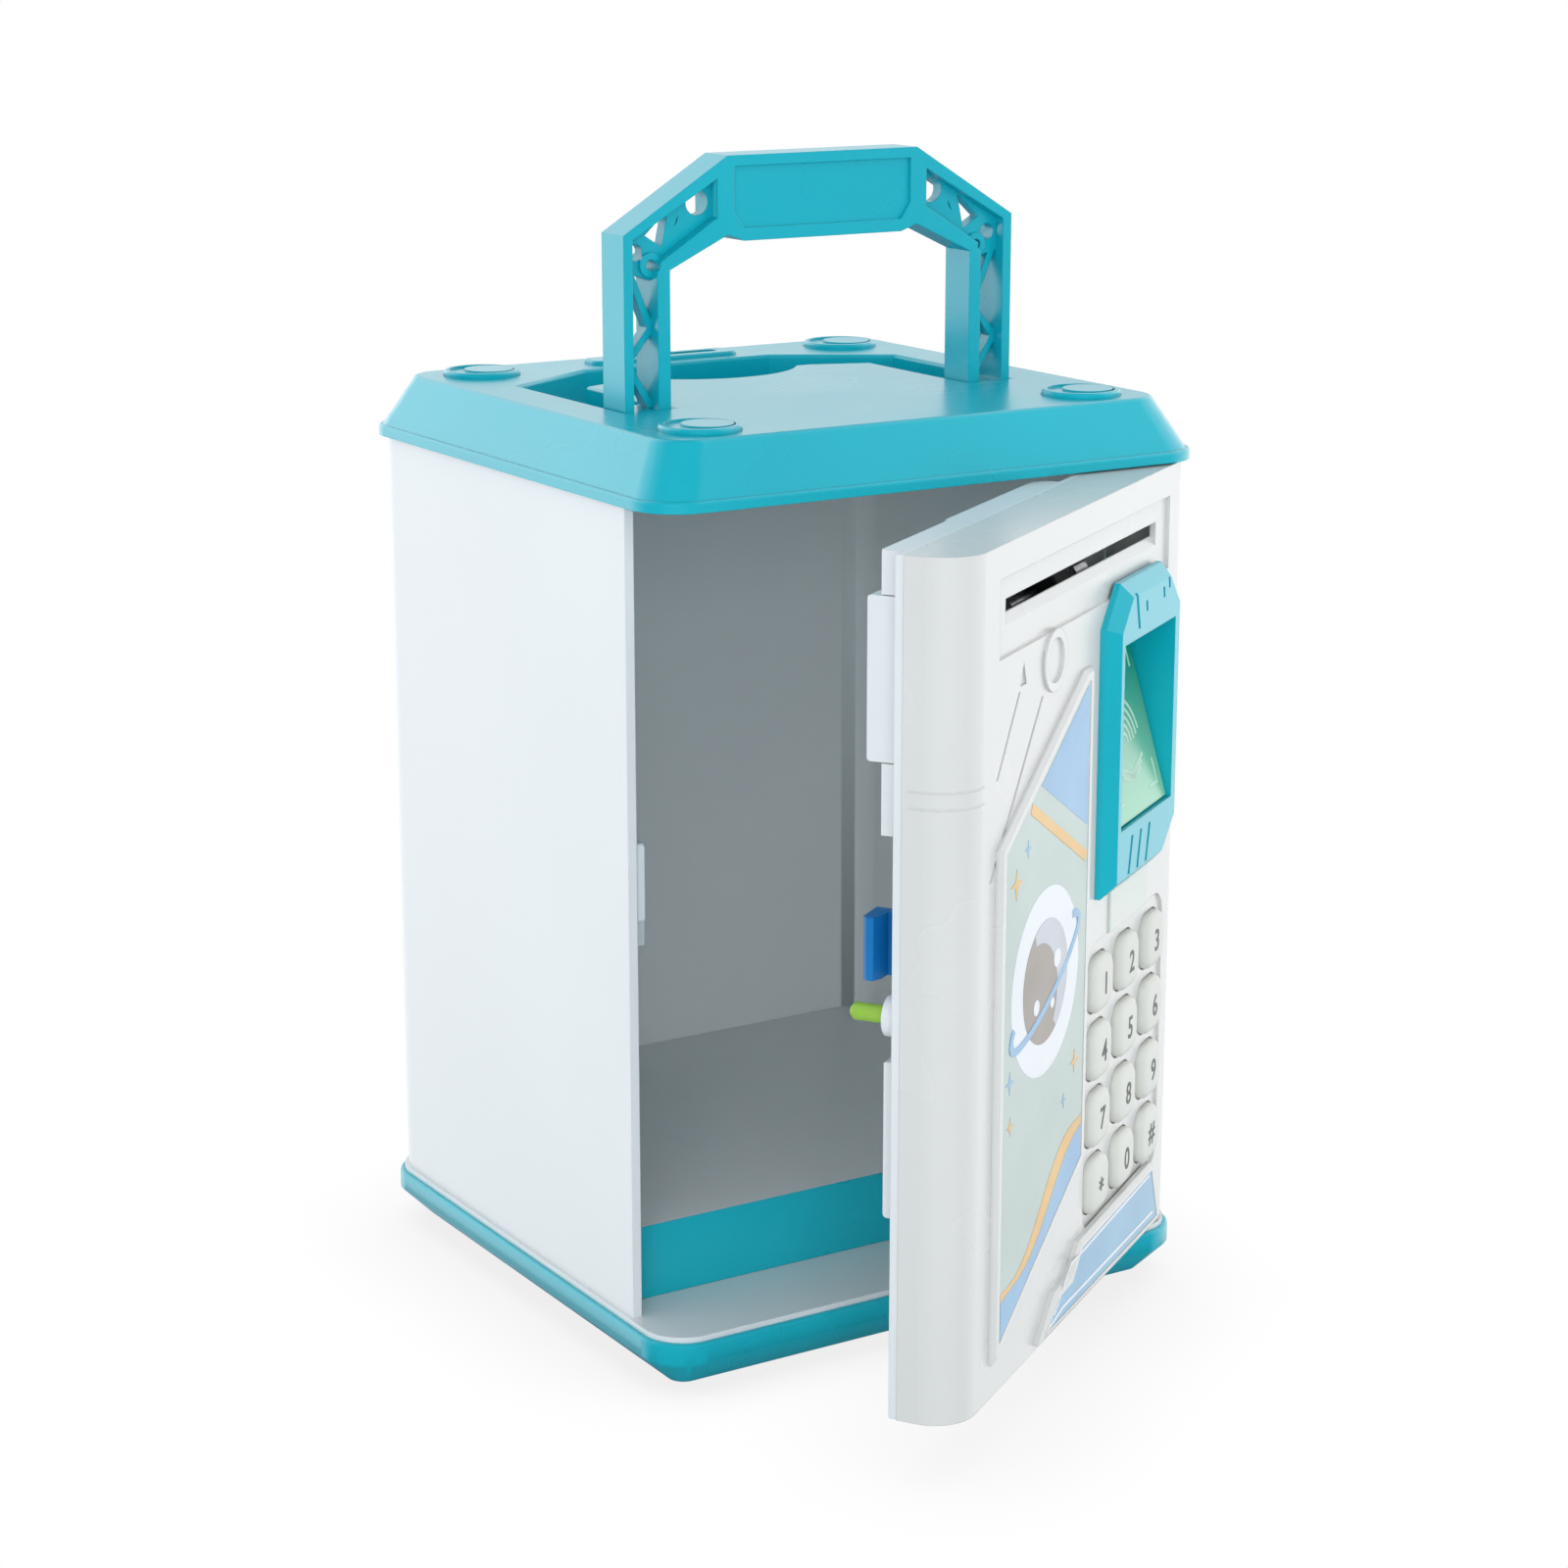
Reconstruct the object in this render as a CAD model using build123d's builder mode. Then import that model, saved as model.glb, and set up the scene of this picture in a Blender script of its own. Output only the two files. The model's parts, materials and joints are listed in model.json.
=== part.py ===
"""Electronic piggy bank: a toy safe with a coded door, a banknote feed and a folding handle.

Frame: millimetres, X to the right, the front faces -Y, Z up, origin at the centre under the feet.
The door is drawn standing open and the handle standing up, as the object is shown.
"""
from build123d import *
from math import atan2, cos, degrees, hypot, radians, sin
import os

# Lid flange and base rim share one outline
rim_width = 133.0
rim_depth = 129.6
rim_corner = 10.3

# Base, standing on rubber feet
foot_proud = 1.0
foot_radius = 5.0
foot_pocket = 1.0
foot_inset_x = 18.0
foot_inset_y = 13.5
base_height = 11.0
base_chamfer = 6.8
base_wall = 2.2

# Case shell
case_inset = 2.0
wall = 2.0
case_corner = 8.3
case_height = 169.3
sill_thick = 1.2
sill_inset = 1.1
ear_size = 9.0
ear_thick = 2.0
ear_front_y = -33.0

# Raised floor inside the case
floor_height = 16.0
floor_thick = 1.6
floor_front_y = -40.4
floor_gap = 0.2

# Lid
flange_band = 2.3
flange_step = 0.95
lid_height = 13.0
lid_top_inset = 6.75
lid_skin = 2.2
lid_boss = 8.0
lid_recess_depth = 10.0
recess_gap = 0.5
coin_length = 28.5
coin_width = 3.2
coin_y = 49.0
coin_rim = 2.2
plug_radius = 8.3
plug_proud = 1.15
plug_inset_x = 20.2
plug_inset_y = 18.2

# Folding handle
handle_half = 47.5
arm_width = 10.7
handle_thick = 9.0
handle_pivot_y = -14.5
handle_pivot_up = 7.9
handle_leg = 40.4
handle_rise = 14.9
handle_flat_half = 23.1
grip_height = 17.3
outer_strip = 2.1
inner_strip = 2.85
web_thick = 3.0
brace = 1.5
pin_radius = 2.0
running_gap = 0.05

# Door
door_angle = 33.9
door_gap = 0.4
barrel = 8.55
door_thick = 14.9
hinge_inset = 10.8
skin = 2.0
hinge_pin_radius = 2.0
hinge_pin_grip = 8.0
hinge_pin_reach = 6.0

# Banknote slot and its feed rollers
slot_near = 12.4
slot_margin = 20.1
slot_z = 169.9
slot_tall = 3.0
roller_radius = 6.0
roller_width = 9.0
roller_places = (52.5, 85.8)
feed_shaft_radius = 1.5
feed_shaft_y = 3.0
feed_near = 31.0
feed_margin = 6.2
feed_low = 141.6
feed_high = 173.0
feed_proud = 8.0
step_proud = 4.8
feed_wall = 1.6

# Fingerprint sensor
bezel_near = 5.7
bezel_far = 48.0
bezel_low = 99.8
bezel_high = 163.5
bezel_proud = 3.8
bezel_cut = 8.0
well_near = 11.2
well_far = 43.4
well_low = 113.1
well_high = 151.7
well_depth = 16.2
well_wall = 1.2
pad_tilt = 15.5
pad_thick = 2.0
pad_gap = 0.35
pad_travel = 1.2

# Keypad
key_centre = 27.1
key_low_z = 37.3
key_column = 16.5
key_row = 14.6
key_wide = 12.4
key_tall = 12.0
key_corner = 4.2
key_proud = 1.5
key_gap = 0.35
key_flange = 0.8
key_travel = 1.0
tray_side = 1.3
tray_end = 3.4
tray_depth = 0.6
key_names = ("key_star", "key_0", "key_hash", "key_7", "key_8", "key_9",
             "key_4", "key_5", "key_6", "key_1", "key_2", "key_3")

# Raised panels on the door
panel_proud = 1.4
panel_frame = 2.4
label_thick = 0.4
panel_margin = 15.2
lower_proud = 1.8
lower_outline = ((9.5, 30.4), (56.0, 29.0), (61.8, 23.6), (70.3, 23.3), (79.8, 15.3), (3.8, 15.3))

# Latch, door switch and battery bay
hook_low = 99.3
hook_high = 111.7
hook_margin = 11.2
hook_thick = 2.4
hook_out = 7.9
hook_lip = 3.5
hook_travel = 3.0
plunger_margin = 6.7
plunger_z = 92.6
plunger_radius = 1.75
plunger_out = 10.5
plunger_travel = 3.0
collar_radius = 4.0
collar_out = 2.9
keeper_thick = 2.2
bay_margin = 6.2
bay_length = 57.0
bay_low = 52.0
bay_high = 83.4
bay_proud = 4.1
cell_radius = 7.1
cell_length = 50.0
screw_radius = 1.3
screw_head = 2.6

# Heights and faces that follow from the sizes above
base_z = foot_proud
sill_z = base_z + base_height
case_z = sill_z + sill_thick
lid_z = case_z + case_height
lid_top = lid_z + lid_height
case_half = rim_width / 2 - case_inset
case_back = rim_depth / 2 - case_inset
door_z = case_z + door_gap
door_height = case_height - 2 * door_gap
axis_x = rim_width / 2 - hinge_inset
axis_y = -rim_depth / 2 + barrel + 1.1
door_outer = -barrel
door_inner = door_outer + door_thick
door_reach = axis_x + case_half
slot_far = door_reach - slot_margin
feed_far = door_reach - feed_margin
hook_u = door_reach - hook_margin
plunger_u = door_reach - plunger_margin
bay_far = door_reach - bay_margin
bay_near = bay_far - bay_length
panel_far = door_reach - panel_margin
panel_outline = ((panel_far, 21.0), (panel_far, 124.5), (58.5, 149.6), (54.2, 149.6), (54.2, 46.6))
cover_seat = door_inner - skin
left_front = axis_y + door_inner + door_gap
right_front = axis_y + barrel + door_gap
floor_z = case_z + floor_height
recess_z = lid_top - lid_recess_depth
pivot_z = lid_z + handle_pivot_up
handle_front = handle_pivot_y - handle_thick / 2
shoulder_z = pivot_z + handle_leg
handle_top = shoulder_z + handle_rise
grip_z = handle_top - grip_height
arm_inner = handle_half - arm_width
inner_shoulder = shoulder_z - 7.4
inner_top = grip_z + 1.4
grip_half = handle_flat_half - 3.9
turn = radians(door_angle)
toward_hinge = (cos(turn), sin(turn), 0)
outward = (sin(turn), -cos(turn), 0)
inward = (-sin(turn), cos(turn), 0)


def door_point(x, y, z=0.0):
    """A point of the closed door, measured from its hinge axis, carried to the open door."""
    return (axis_x + x * cos(turn) - y * sin(turn), axis_y + x * sin(turn) + y * cos(turn), z)


def door_face(y):
    """Plane parallel to the door's front at depth y: sketch X runs to the hinge, sketch Y is height."""
    return Plane(origin=door_point(0, y), x_dir=toward_hinge, z_dir=outward)


def door_level(z):
    """Horizontal plane in the door: sketch X runs to the hinge, sketch Y runs inward."""
    return Plane(origin=door_point(0, 0, z), x_dir=toward_hinge, z_dir=(0, 0, 1))


def door_side(u):
    """Plane across the door at distance u from the axis: sketch X runs inward, sketch Y is height."""
    return Plane(origin=door_point(-u, 0), x_dir=inward, z_dir=toward_hinge)


def on_face(points):
    """Turns (distance from the hinge axis, height) pairs into sketch points of door_face."""
    return [(-u, z) for u, z in points]


def block(near, far, low, high):
    """A rectangle on a door face, between two distances from the axis and two heights."""
    with Locations((-(near + far) / 2, (low + high) / 2)):
        Rectangle(far - near, high - low)


def save(piece, name):
    """Labels a finished piece and writes it."""
    piece.part.label = name
    export_step(piece.part, f"parts/{name}.step")


os.makedirs("parts", exist_ok=True)

# Base tray: rim band above a broad chamfer, hollow, with pockets for the feet and screw posts
foot_x = rim_width / 2 - foot_inset_x
foot_y = rim_depth / 2 - foot_inset_y
foot_places = [(0, 0)] + [(x, y) for x in (-foot_x, foot_x) for y in (-foot_y, foot_y)]
post_x = foot_x - 14.0
post_places = [(x, y) for x in (-post_x, post_x) for y in (-26.0, 44.0)]
post_radius = 4.0
with BuildPart() as base_tray:
    with BuildSketch(Plane.XY.offset(base_z)):
        RectangleRounded(rim_width, rim_depth, rim_corner)
    extrude(amount=base_height)
    chamfer(base_tray.faces().sort_by(Axis.Z)[0].outer_wire().edges(), length=base_chamfer)
    fillet(base_tray.faces().sort_by(Axis.Z)[-1].outer_wire().edges(), radius=0.6)
    low_cut = base_chamfer + base_wall
    with BuildSketch(Plane.XY.offset(base_z + base_wall)):
        RectangleRounded(rim_width - 2 * low_cut, rim_depth - 2 * low_cut, rim_corner - base_wall)
    with BuildSketch(Plane.XY.offset(sill_z)):
        RectangleRounded(rim_width - 2 * base_wall, rim_depth - 2 * base_wall, rim_corner - base_wall)
    loft(mode=Mode.SUBTRACT)
    with BuildSketch(Plane.XY.offset(base_z)):
        with Locations(*post_places):
            Circle(post_radius)
    extrude(amount=base_height)
    with BuildSketch(Plane.XY.offset(base_z + base_wall)):
        with Locations((axis_x, axis_y)):
            Circle(hinge_pin_radius + 2.4)
    extrude(amount=base_height - base_wall)
    with BuildSketch(Plane.XY.offset(base_z)):
        with Locations(*foot_places):
            Circle(foot_radius + 0.1)
    extrude(amount=foot_pocket, mode=Mode.SUBTRACT)
    with BuildSketch(Plane.XY.offset(base_z)):
        with Locations(*post_places):
            Circle(screw_head + 0.2)
    extrude(amount=2.2, mode=Mode.SUBTRACT)
    with BuildSketch(Plane.XY.offset(base_z)):
        with Locations(*post_places):
            Circle(screw_radius + 0.05)
    extrude(amount=base_height, mode=Mode.SUBTRACT)
    with BuildSketch(Plane.XY.offset(sill_z - hinge_pin_reach + sill_thick - 0.5)):
        with Locations((axis_x, axis_y)):
            Circle(hinge_pin_radius + running_gap)
    extrude(amount=hinge_pin_reach, mode=Mode.SUBTRACT)
save(base_tray, "base_tray")

# Round rubber feet in the pockets of the base: one near each corner and one in the middle, under the load
with BuildPart() as feet:
    with BuildSketch():
        with Locations(*foot_places):
            Circle(foot_radius)
    extrude(amount=foot_proud + foot_pocket)
    chamfer(feet.faces().group_by(Axis.Z)[0].edges(), length=0.4)
save(feet, "feet")

# Screws that hold the base to the case floor, heads down
with BuildPart() as base_screws:
    with BuildSketch(Plane.XY.offset(base_z + 0.6)):
        with Locations(*post_places):
            Circle(screw_head)
    extrude(amount=1.6)
    with BuildSketch(Plane.XY.offset(base_z + 2.2)):
        with Locations(*post_places):
            Circle(screw_radius)
    extrude(amount=base_height + sill_thick + 1.0)
save(base_screws, "base_screws")

# Case shell: left, back and right walls standing on a thin sill plate, with ears for the lid screws
ear_x = case_half - wall - ear_size / 2
ear_places = [(x, y) for x in (-ear_x, ear_x) for y in (ear_front_y, case_back - case_corner - ear_size / 2)]
case_reach = case_back - left_front
with BuildPart() as case_shell:
    with BuildSketch(Plane.XY.offset(sill_z)):
        RectangleRounded(rim_width - 2 * sill_inset, rim_depth - 2 * sill_inset, rim_corner - sill_inset)
    extrude(amount=sill_thick)
    with BuildSketch(Plane.XY.offset(case_z)):
        with Locations((0, case_back - case_reach)):
            RectangleRounded(2 * case_half, 2 * case_reach, case_corner)
            RectangleRounded(2 * case_half - 2 * wall, 2 * case_reach - 2 * wall, case_corner - wall,
                             mode=Mode.SUBTRACT)
        with Locations((0, left_front - case_reach)):
            Rectangle(3 * case_half, 2 * case_reach, mode=Mode.SUBTRACT)
        with Locations((case_half, right_front - case_reach)):
            Rectangle(4 * wall, 2 * case_reach, mode=Mode.SUBTRACT)
    extrude(amount=case_height)
    with BuildSketch(Plane.XY.offset(lid_z - ear_thick)):
        with Locations(*ear_places):
            Rectangle(ear_size, ear_size)
    extrude(amount=ear_thick)
    with BuildSketch(Plane.XY.offset(lid_z - ear_thick)):
        with Locations(*ear_places):
            Circle(screw_radius + 0.05)
    extrude(amount=ear_thick, mode=Mode.SUBTRACT)
    with BuildSketch(Plane.XY.offset(sill_z)):
        with Locations(*post_places):
            Circle(screw_radius + 0.05)
        with Locations((axis_x, axis_y)):
            Circle(hinge_pin_radius + running_gap)
    extrude(amount=sill_thick, mode=Mode.SUBTRACT)
save(case_shell, "case_shell")

# Coloured riser across the front of the raised floor
riser_half = case_half - wall - floor_gap
riser_thick = 1.8
with BuildPart() as riser_strip:
    with BuildSketch(Plane.XY.offset(case_z)):
        with Locations((0, floor_front_y + riser_thick / 2)):
            Rectangle(2 * riser_half, riser_thick)
    extrude(amount=floor_height - floor_thick)
save(riser_strip, "riser_strip")

# White raised floor, carried by the riser and by ribs and screw posts under it
floor_depth = case_back - wall - floor_gap - floor_front_y
floor_corner = case_corner - wall
with BuildPart() as floor_panel:
    with BuildSketch(Plane.XY.offset(floor_z - floor_thick)):
        with Locations((0, floor_front_y + floor_depth / 2)):
            Rectangle(2 * riser_half, floor_depth)
        fillet([v for v in vertices().sort_by(Axis.Y)[-2:]], radius=floor_corner)
    extrude(amount=floor_thick)
    with BuildSketch(Plane.XY.offset(case_z)):
        for x in (-riser_half + 6.0, 0, riser_half - 6.0):
            with Locations((x, floor_front_y + riser_thick + floor_depth / 2 - 4.0)):
                Rectangle(1.6, floor_depth - riser_thick - 12.0)
        with Locations(*post_places):
            Circle(3.2)
    extrude(amount=floor_height - floor_thick)
    with BuildSketch(Plane.XY.offset(case_z)):
        with Locations(*post_places):
            Circle(screw_radius + 0.05)
    extrude(amount=4.0, mode=Mode.SUBTRACT)
save(floor_panel, "floor_panel")

# Keeper on the left wall: a windowed bracket for the latch hook and a tab for the door switch
keeper_x = -case_half + wall
hook_root = axis_y + door_inner
catch_y = hook_root + hook_out - hook_lip + 0.2
with BuildPart() as keeper:
    with BuildSketch(Plane.YZ.offset(keeper_x)):
        with Locations(((left_front + 0.8 + catch_y + 7.0) / 2, (hook_low + hook_high) / 2)):
            RectangleRounded(catch_y + 6.2 - left_front, hook_high - hook_low + 4.0, 1.0)
    extrude(amount=keeper_thick)
    with BuildSketch(Plane.YZ.offset(keeper_x)):
        with Locations((catch_y + 2.6, (hook_low + hook_high) / 2)):
            Rectangle(5.2, hook_high - hook_low + 1.0)
    extrude(amount=keeper_thick, mode=Mode.SUBTRACT)
    tab_y = hook_root + plunger_out + 0.3
    tab_reach = axis_x - plunger_u + plunger_radius + 1.0 - keeper_x
    with BuildSketch(Plane.XY.offset(plunger_z - 3.4)):
        with Locations((keeper_x + tab_reach / 2, tab_y + 0.8)):
            Rectangle(tab_reach, 1.6)
        with Locations((keeper_x + 0.7, tab_y - 2.0)):
            Rectangle(1.4, 7.2)
    extrude(amount=hook_low - 2.0 - plunger_z + 3.4)
save(keeper, "keeper")

# Lid: flange, sloping sides, handle recess round a central island, coin slot, hinge and screw bosses
fold_y = handle_pivot_y - pivot_z
recess_front = handle_front - recess_gap
recess_half = handle_half + recess_gap
recess_points = [(-recess_half, recess_front), (recess_half, recess_front),
                 (recess_half, fold_y + shoulder_z + 0.6), (handle_flat_half + 0.6, fold_y + handle_top + recess_gap),
                 (-handle_flat_half - 0.6, fold_y + handle_top + recess_gap), (-recess_half, fold_y + shoulder_z + 0.6)]
island_half = arm_inner - recess_gap - 0.2
island_shoulder = fold_y + inner_shoulder - recess_gap
island_back = fold_y + grip_z - recess_gap
island_points = [(-island_half, recess_front), (island_half, recess_front), (island_half, island_shoulder),
                 (handle_flat_half, island_back), (-handle_flat_half, island_back), (-island_half, island_shoulder)]
scoop_radius = 23.8
scoop_y = island_back + 14.0
plug_x = rim_width / 2 - plug_inset_x
plug_y = rim_depth / 2 - plug_inset_y
plug_places = [(x, y) for x in (-plug_x, plug_x) for y in (-plug_y, plug_y)]
coin_rim_length = coin_length + 4 * coin_rim
coin_rim_width = coin_width + 2 * coin_rim
with BuildPart() as lid:
    with BuildSketch(Plane.XY.offset(lid_z)):
        RectangleRounded(rim_width, rim_depth, rim_corner)
    extrude(amount=flange_band)
    fillet(lid.edges().group_by(Axis.Z)[-1], radius=0.7)
    with BuildSketch(Plane.XY.offset(lid_z + flange_band)):
        RectangleRounded(rim_width - 2 * flange_step, rim_depth - 2 * flange_step, rim_corner - flange_step)
    with BuildSketch(Plane.XY.offset(lid_top)):
        RectangleRounded(rim_width - 2 * lid_top_inset, rim_depth - 2 * lid_top_inset, rim_corner - 2.4)
    loft()
    fillet(lid.faces().sort_by(Axis.Z)[-1].outer_wire().edges(), radius=1.4)
    with BuildSketch(Plane.XY.offset(lid_z)):
        low_inset = flange_step + lid_skin
        RectangleRounded(rim_width - 2 * low_inset, rim_depth - 2 * low_inset, rim_corner - low_inset)
    with BuildSketch(Plane.XY.offset(lid_top - lid_skin)):
        high_inset = lid_top_inset + lid_skin
        RectangleRounded(rim_width - 2 * high_inset, rim_depth - 2 * high_inset, rim_corner - 2.4 - lid_skin)
    loft(mode=Mode.SUBTRACT)
    with BuildSketch(Plane.XY.offset(lid_z)):
        Polygon(*recess_points, align=None)
        offset(amount=lid_skin, kind=Kind.INTERSECTION)
    extrude(amount=lid_height - 1.0)
    with BuildSketch(Plane.XY.offset(recess_z)):
        Polygon(*recess_points, align=None)
        Polygon(*island_points, align=None, mode=Mode.SUBTRACT)
        with Locations((0, scoop_y)):
            Circle(scoop_radius)
        with Locations((0, scoop_y + 2 * scoop_radius)):
            Rectangle(4 * scoop_radius, 2 * (2 * scoop_radius + scoop_y - fold_y - handle_top - recess_gap),
                      mode=Mode.SUBTRACT)
    extrude(amount=lid_recess_depth, mode=Mode.SUBTRACT)
    fillet(lid.faces().sort_by(Axis.Z)[-1].inner_wires().edges(), radius=0.8)
    with BuildSketch(Plane.XY.offset(lid_z)):
        with Locations((0, recess_front + 17.0)):
            Rectangle(2 * island_half - 2 * lid_skin, 28.0)
    extrude(amount=lid_height - lid_skin, mode=Mode.SUBTRACT)
    with BuildSketch(Plane.XY.offset(lid_z)):
        with Locations(*ear_places):
            Circle(screw_radius + 2.2)
        with Locations((axis_x, axis_y)):
            Circle(hinge_pin_radius + 2.4)
    extrude(amount=lid_boss)
    with BuildSketch(Plane.XY.offset(lid_z)):
        with Locations((0, coin_y)):
            Rectangle(coin_length + 2 * coin_rim, coin_width + 2 * coin_rim)
    extrude(amount=lid_height - lid_skin)
    with BuildSketch(Plane.XY.offset(lid_z)):
        with Locations(*ear_places):
            Circle(screw_radius + 0.05)
        with Locations((axis_x, axis_y)):
            Circle(hinge_pin_radius + running_gap)
    extrude(amount=hinge_pin_reach + 0.6, mode=Mode.SUBTRACT)
    with BuildSketch(Plane.XY.offset(lid_top)):
        with Locations((0, coin_y)):
            RectangleRounded(coin_rim_length, coin_rim_width, 2.6)
    extrude(amount=0.9)
    fillet(lid.faces().sort_by(Axis.Z)[-1].outer_wire().edges(), radius=0.6)
    with BuildSketch(Plane.XY.offset(lid_z)):
        with Locations((0, coin_y)):
            RectangleRounded(coin_length, coin_width, coin_width / 2 - 0.1)
    extrude(amount=2 * lid_height, mode=Mode.SUBTRACT)
    with BuildSketch(Plane.XY.offset(lid_top - 1.0)):
        with Locations(*plug_places):
            Circle(plug_radius + 0.1)
    extrude(amount=2.0, mode=Mode.SUBTRACT)
    with BuildSketch(Plane.XY.offset(lid_top - lid_skin)):
        with Locations(*plug_places):
            Circle(2.05)
    extrude(amount=lid_skin, mode=Mode.SUBTRACT)
    with BuildSketch(Plane.YZ.offset(-recess_half - lid_skin)):
        with Locations((handle_pivot_y, pivot_z)):
            Circle(pin_radius)
    extrude(amount=2 * recess_half + 2 * lid_skin, mode=Mode.SUBTRACT)
save(lid, "lid")

# Round corner plugs with a crescent in the top, snapped into the lid
with BuildPart() as corner_plugs:
    with BuildSketch(Plane.XY.offset(lid_top - 1.0)):
        with Locations(*plug_places):
            Circle(plug_radius)
    extrude(amount=1.0 + plug_proud)
    chamfer(corner_plugs.edges().group_by(Axis.Z)[-1], length=0.4)
    with BuildSketch(Plane.XY.offset(lid_top + plug_proud - 0.5)):
        with Locations(*plug_places):
            Circle(plug_radius - 1.2)
        with Locations(*[(x + 1.7, y) for x, y in plug_places]):
            Circle(plug_radius - 3.0, mode=Mode.SUBTRACT)
    extrude(amount=0.5, mode=Mode.SUBTRACT)
    with BuildSketch(Plane.XY.offset(lid_top - lid_skin - 1.0)):
        with Locations(*plug_places):
            Circle(2.0)
    extrude(amount=lid_skin)
save(corner_plugs, "corner_plugs")

# Screws driven up through the case ears into the lid
with BuildPart() as lid_screws:
    with BuildSketch(Plane.XY.offset(lid_z - ear_thick - 1.6)):
        with Locations(*ear_places):
            Circle(screw_head)
    extrude(amount=1.6)
    with BuildSketch(Plane.XY.offset(lid_z - ear_thick)):
        with Locations(*ear_places):
            Circle(screw_radius)
    extrude(amount=ear_thick + 6.0)
save(lid_screws, "lid_screws")

# Folding handle: two truss arms and a grip with a sunk panel
leg_end = pivot_z - handle_thick / 2
handle_mid = handle_pivot_y
outer_web = handle_half - outer_strip
inner_web = arm_inner + inner_strip
web_run = inner_web - handle_flat_half
leg_low = pivot_z + 4.9
ring_spot = (inner_web + 0.3, inner_shoulder + 1.0)
leg_knots = ((outer_web, inner_shoulder + 1.6), (inner_web, inner_shoulder - 11.8),
             (outer_web, inner_shoulder - 18.8), (inner_web, leg_low + 0.4))

with BuildPart() as handle:
    with BuildSketch(Plane.XZ.offset(-handle_front - handle_thick)):
        Polygon((-handle_half, leg_end), (-handle_half, shoulder_z), (-handle_flat_half, handle_top),
                (handle_flat_half, handle_top), (handle_half, shoulder_z), (handle_half, leg_end), align=None)
        Polygon((-arm_inner, leg_end), (-arm_inner, inner_shoulder), (-handle_flat_half, inner_top),
                (-grip_half, grip_z), (grip_half, grip_z), (handle_flat_half, inner_top),
                (arm_inner, inner_shoulder), (arm_inner, leg_end), align=None, mode=Mode.SUBTRACT)
    extrude(amount=handle_thick)
    fillet(handle.faces().filter_by(Axis.Z).group_by(Axis.Z)[0].edges().filter_by(Axis.X),
           radius=handle_thick / 2 - 0.2)
    # Pockets from both faces leave a thin web between the outer and inner strips
    for face in (Plane.XZ.offset(-handle_front - (handle_thick - web_thick) / 2),
                 Plane.XZ.offset(-handle_front - handle_thick)):
        with BuildSketch(face):
            for side in (-1, 1):
                Polygon((side * inner_web, leg_low), (side * inner_web, inner_shoulder + 1.2),
                        (side * (handle_flat_half + 2.4), inner_top + inner_strip + 0.7),
                        (side * (handle_flat_half + 2.4), handle_top - outer_strip - 2.4),
                        (side * outer_web, shoulder_z - 1.0), (side * outer_web, leg_low), align=None)
        extrude(amount=(handle_thick - web_thick) / 2, mode=Mode.SUBTRACT)
    # Openings through the web: the whole upright, then triangles and round holes round the shoulder
    with BuildSketch(Plane.XZ.offset(-handle_front - handle_thick)):
        for side in (-1, 1):
            Polygon((side * inner_web, leg_low), (side * inner_web, inner_shoulder - 2.2),
                    (side * outer_web, inner_shoulder - 0.2), (side * outer_web, leg_low), align=None)
            for x, z, r in ((outer_web - 2.2, inner_shoulder + 3.6, 1.7), (*ring_spot, 1.1),
                            (handle_flat_half + 0.33837 * web_run, inner_top + 6.6, 2.6)):
                with Locations((side * x, z)):
                    Circle(r)
            low_a = (handle_flat_half + 0.81873 * web_run, inner_shoulder + 3.6)
            low_b = (handle_flat_half + 0.58006 * web_run, inner_top + 2.9)
            top_a = (outer_web - 3.6, shoulder_z - 0.6)
            top_b = (handle_flat_half + 0.53172 * web_run, handle_top - 7.4)
            for corners in ((low_a, top_a, (top_b[0] + 2.6, top_b[1] - 1.4)), (low_a, low_b, top_b)):
                with BuildSketch(mode=Mode.PRIVATE) as hole:
                    Polygon(*[(side * x, z) for x, z in corners], align=None)
                    offset(amount=-brace / 2 + 0.2, kind=Kind.INTERSECTION)
                add(hole.sketch)
    extrude(amount=handle_thick, mode=Mode.SUBTRACT)
    # Zigzag braces across the upright and a collar round the shoulder hole
    with BuildSketch(Plane.XZ.offset(-handle_front - (handle_thick + web_thick) / 2)):
        for side in (-1, 1):
            for (x_0, z_0), (x_1, z_1) in zip(leg_knots, leg_knots[1:]):
                with Locations((side * (x_0 + x_1) / 2, (z_0 + z_1) / 2)):
                    Rectangle(hypot(x_1 - x_0, z_1 - z_0), brace,
                              rotation=degrees(atan2(z_1 - z_0, side * (x_1 - x_0))))
    extrude(amount=web_thick)
    with BuildSketch(Plane.XZ.offset(-handle_front - (handle_thick + web_thick) / 2 - 0.8)):
        for side in (-1, 1):
            with Locations((side * ring_spot[0], ring_spot[1])):
                Circle(2.5)
                Circle(1.1, mode=Mode.SUBTRACT)
    extrude(amount=web_thick + 1.6)
    # Sunk panel on both faces of the grip
    for face in (Plane.XZ.offset(-handle_front - 0.8), Plane.XZ.offset(-handle_front - handle_thick)):
        with BuildSketch(face):
            Polygon((-handle_flat_half + 1.6, grip_z + 6.0), (-handle_flat_half + 1.6, handle_top - 2.2),
                    (handle_flat_half - 1.6, handle_top - 2.2), (handle_flat_half - 1.6, grip_z + 6.0),
                    (grip_half, grip_z + 2.6), (-grip_half, grip_z + 2.6), align=None)
        extrude(amount=0.8, mode=Mode.SUBTRACT)
    with BuildSketch(Plane.YZ.offset(-handle_half)):
        with Locations((handle_mid, pivot_z)):
            Circle(pin_radius + running_gap)
    extrude(amount=2 * handle_half, mode=Mode.SUBTRACT)
save(handle, "handle")

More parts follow.
